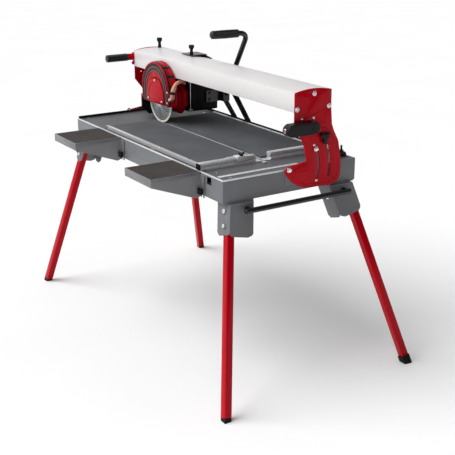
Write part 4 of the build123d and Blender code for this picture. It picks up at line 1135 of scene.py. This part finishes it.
def studio():
    """Pale floor, a white world with one darker side, a broad key lamp and a soft fill."""
    size = 60.0
    mesh = bpy.data.meshes.new("floor")
    corners = [(-size, -size, 0), (size, -size, 0), (size, size, 0), (-size, size, 0)]
    mesh.from_pydata(corners, [], [(0, 1, 2, 3)])
    floor = bpy.data.objects.new("floor", mesh)
    floor.location.z = cad_box[0].z - 0.0005
    bpy.context.scene.collection.objects.link(floor)
    pale = surface("pale_floor", (0.90, 0.90, 0.90), 0.8, spread=0.01, patch=1.5, grain=40, depth=0.0,
                   Specular_IOR_Level=0.0)
    floor.data.materials.append(pale)
    world = bpy.data.worlds.new("studio")
    bpy.context.scene.world = world
    world.use_nodes = True
    tree = world.node_tree
    # a white studio that is darker on the +X side, where no lamp stands
    coords = tree.nodes.new("ShaderNodeTexCoord")
    side = tree.nodes.new("ShaderNodeVectorMath")
    side.operation = "DOT_PRODUCT"
    side.inputs[1].default_value = (0.92, 0.30, -0.25)
    tree.links.new(coords.outputs["Generated"], side.inputs[0])
    shade = ramp(tree, between(tree, side.outputs["Value"], 0.0, 1.0, -0.75, 0.75),
                 [(0.0, (1.0, 1.0, 1.0)), (0.55, (0.42, 0.42, 0.43)), (1.0, (0.05, 0.05, 0.055))])
    tree.links.new(shade, tree.nodes["Background"].inputs["Color"])
    tree.nodes["Background"].inputs["Strength"].default_value = 0.8
    middle = (cad_box[0] + cad_box[1]) / 2
    sun = bpy.data.lights.new("key", "SUN")
    sun.energy = 2.6
    sun.angle = radians(50)
    aim_lamp(sun, Vector((-0.34, -0.66, 0.86)), middle, 6.0)
    fill = bpy.data.lights.new("fill", "AREA")
    fill.size = 3.0
    fill.energy = 22
    aim_lamp(fill, Vector((0.8, -0.75, 0.35)), middle, 4.5)


def aim_lamp(light, direction, target, distance):
    lamp = bpy.data.objects.new(light.name, light)
    lamp.location = target + direction.normalized() * distance
    lamp.rotation_mode = "QUATERNION"
    lamp.rotation_quaternion = (target - lamp.location).to_track_quat("-Z", "Y")
    bpy.context.scene.collection.objects.link(lamp)


def camera():
    """Three-quarter view from the near end and the side-table side, a little above the rim."""
    data = bpy.data.cameras.new("camera")
    data.lens = 75.33
    data.sensor_width = 36.0
    data.clip_end = 60.0
    eye = bpy.data.objects.new("camera", data)
    eye.location = place((3312.8, -2021.7, 924.3))
    eye.rotation_euler = (radians(90 - 18.87), 0, radians(57.21))
    bpy.context.scene.collection.objects.link(eye)
    bpy.context.scene.camera = eye
    bpy.context.scene.view_settings.view_transform = "Standard"


# ---------------------------------------------------------------- assembly

dress_nodes()
end_plate_details()
laser_details()
rear_grip_detail()
for end in (-1, 1):
    tilt_knob_detail(end)
for knob in ("rail_knob", "carriage_knob"):
    post_knob(knob)
guard_details()
handle_bolts()
flap_details()
motor_details()
hose_details()
grip_detail()
blade_details()
scale_strip()
rim_highlight_strips()
table_screws()
for side in (-1, 1):
    wheel_details(side)
clamp_knobs()
angle_stop_wing()
tilt_bolt_heads()
studio()
camera()
